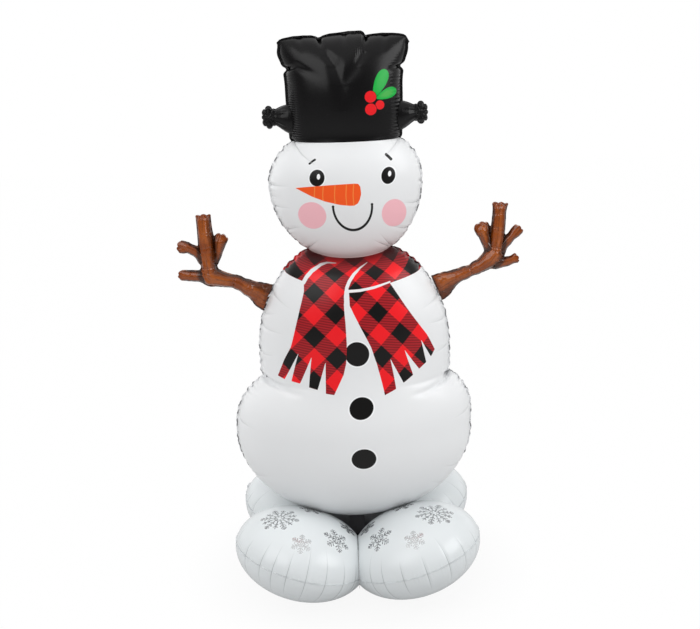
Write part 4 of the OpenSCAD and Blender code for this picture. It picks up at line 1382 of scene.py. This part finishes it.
SENSOR, LENS = 36, 54
CAMERA_AT = (0, -2.586, 1.3885)
CAMERA_DOWN, CAMERA_ROLL = 14.9, -2.0
FLOOR_HALF, FLOOR_Z = 9, -0.5 * MM
FLOOR_GREY, WHITE = (0.62, 0.62, 0.62, 1), (1, 1, 1, 1)
LAMPS = (
    # Place, aim, size and power
    ("key", (-1.7, -2.1, 2.8), (0, 0, 1.0), 2.4, 36), ("fill", (2.7, -1.0, 2.3), (0, 0, 1.0), 2.0, 44),
    ("top", (0.2, 0.3, 3.6), (0, 0, 0.6), 2.2, 22), ("rear", (-2.6, 1.1, 2.2), (0, 0, 1.0), 1.6, 22))


def rays(tree):
    """1 for a ray from the camera, for one that was mirrored and for one that came through film."""
    seen = add_node(tree, "LightPath")
    return [Wire(tree, seen.outputs[f"Is {kind} Ray"]) for kind in ("Camera", "Glossy", "Transmission")]


def floor_material():
    """Pale floor that the camera sees white, a little darker round the foot."""
    material = bpy.data.materials.new("pale_floor")
    material.use_nodes = True
    tree = material.node_tree
    tree.nodes.clear()
    camera, glossy, through = rays(tree)
    spot = Wire(tree, add_node(tree, "TexCoord").outputs["Object"])
    away = Wire(tree, add_node(tree, "VectorMath", {0: spot}, operation="LENGTH").outputs["Value"])
    open_floor = ((away - 0.30) / 0.18).clamped().math("SMOOTH_MIN", 1, 0.2)
    white = camera.either(glossy * 0.2).either(through) * (open_floor * 0.08 + 0.92).math("MINIMUM", 1)
    matt = Wire(tree, add_node(tree, "BsdfDiffuse", {"Color": FLOOR_GREY}).outputs[0])
    glow = Wire(tree, add_node(tree, "Emission", {"Color": WHITE}).outputs[0])
    mix = Wire(tree, add_node(tree, "MixShader", {0: white, 1: matt, 2: glow}).outputs[0])
    add_node(tree, "OutputMaterial", {0: mix})
    return material


def studio_world():
    """White backdrop. Reflections show it behind the figure and overhead, and a dim room in front of it."""
    world = bpy.data.worlds.new("studio")
    world.use_nodes = True
    tree = world.node_tree
    camera, glossy, through = rays(tree)
    heading = Wire(tree, add_node(tree, "TexCoord").outputs["Generated"])
    parts = add_node(tree, "SeparateXYZ", {0: heading}).outputs
    y, z = Wire(tree, parts["Y"]), Wire(tree, parts["Z"])
    behind = y.above(0.2, 0.8).both(z.below(0.45, 0.4)) * 0.8
    mirrored = behind.either(z.above(0.6, 0.5) * 0.6) + 0.2
    strength = (camera.either(through) * 0.45 + 0.55).without(glossy) + mirrored.both(glossy)
    back = tree.nodes["Background"]
    tree.links.new(strength.socket, back.inputs["Strength"])
    back.inputs["Color"].default_value = WHITE
    return world


class SNOWMAN_OT_stage(bpy.types.Operator):
    """Pale floor, soft studio light and the camera"""

    bl_idname = "snowman.stage"
    bl_label = "Stage"

    def execute(self, context):
        scene = context.scene
        scene.view_settings.view_transform = "Standard"
        camera = bpy.data.objects.new("camera", bpy.data.cameras.new("camera"))
        scene.collection.objects.link(camera)
        camera.data.sensor_width = SENSOR
        camera.data.lens = LENS
        camera.data.clip_end = 50
        look = Matrix.Rotation(math.radians(90 - CAMERA_DOWN), 4, "X")
        roll = Matrix.Rotation(math.radians(CAMERA_ROLL), 4, "Z")
        camera.matrix_world = Matrix.Translation(CAMERA_AT) @ look @ roll
        scene.camera = camera
        mesh = bpy.data.meshes.new("floor")
        corners = ((-1, -1), (1, -1), (1, 1), (-1, 1))
        mesh.from_pydata([(FLOOR_HALF * x, FLOOR_HALF * y, FLOOR_Z) for x, y in corners], [], [(0, 1, 2, 3)])
        mesh.materials.append(floor_material())
        floor = bpy.data.objects.new("floor", mesh)
        scene.collection.objects.link(floor)
        scene.world = studio_world()
        for name, place, aim, size, power in LAMPS:
            lamp = bpy.data.lights.new(name, "AREA")
            lamp.shape = "SQUARE"
            lamp.size = size
            lamp.energy = power
            holder = bpy.data.objects.new(name, lamp)
            scene.collection.objects.link(holder)
            holder.location = place
            holder.visible_glossy = place[1] < 0
            holder.rotation_euler = (Vector(aim) - Vector(place)).to_track_quat("-Z", "Y").to_euler()
        return {"FINISHED"}


class SNOWMAN_PT_panel(bpy.types.Panel):
    """Sidebar list of the snowman's pieces"""

    bl_idname = "SNOWMAN_PT_panel"
    bl_label = "Snowman"
    bl_space_type = "VIEW_3D"
    bl_region_type = "UI"
    bl_category = "Snowman"

    def draw(self, context):
        for step in STEPS:
            self.layout.operator(step.bl_idname)


STEPS = (SNOWMAN_OT_stage, SNOWMAN_OT_figure, SNOWMAN_OT_feet, SNOWMAN_OT_hands, SNOWMAN_OT_fittings)
CLASSES = (SnowmanSizes, SnowmanColours) + STEPS + (SNOWMAN_PT_panel,)


def register():
    for each in CLASSES:
        bpy.utils.register_class(each)
    bpy.types.Scene.snowman_sizes = PointerProperty(type=SnowmanSizes)
    bpy.types.Scene.snowman_colours = PointerProperty(type=SnowmanColours)


def unregister():
    del bpy.types.Scene.snowman_colours
    del bpy.types.Scene.snowman_sizes
    for each in reversed(CLASSES):
        bpy.utils.unregister_class(each)


def main():
    register()
    bpy.ops.snowman.stage()
    bpy.ops.snowman.figure()
    bpy.ops.snowman.feet()
    bpy.ops.snowman.hands()
    bpy.ops.snowman.fittings()


if __name__ == "__main__":
    main()
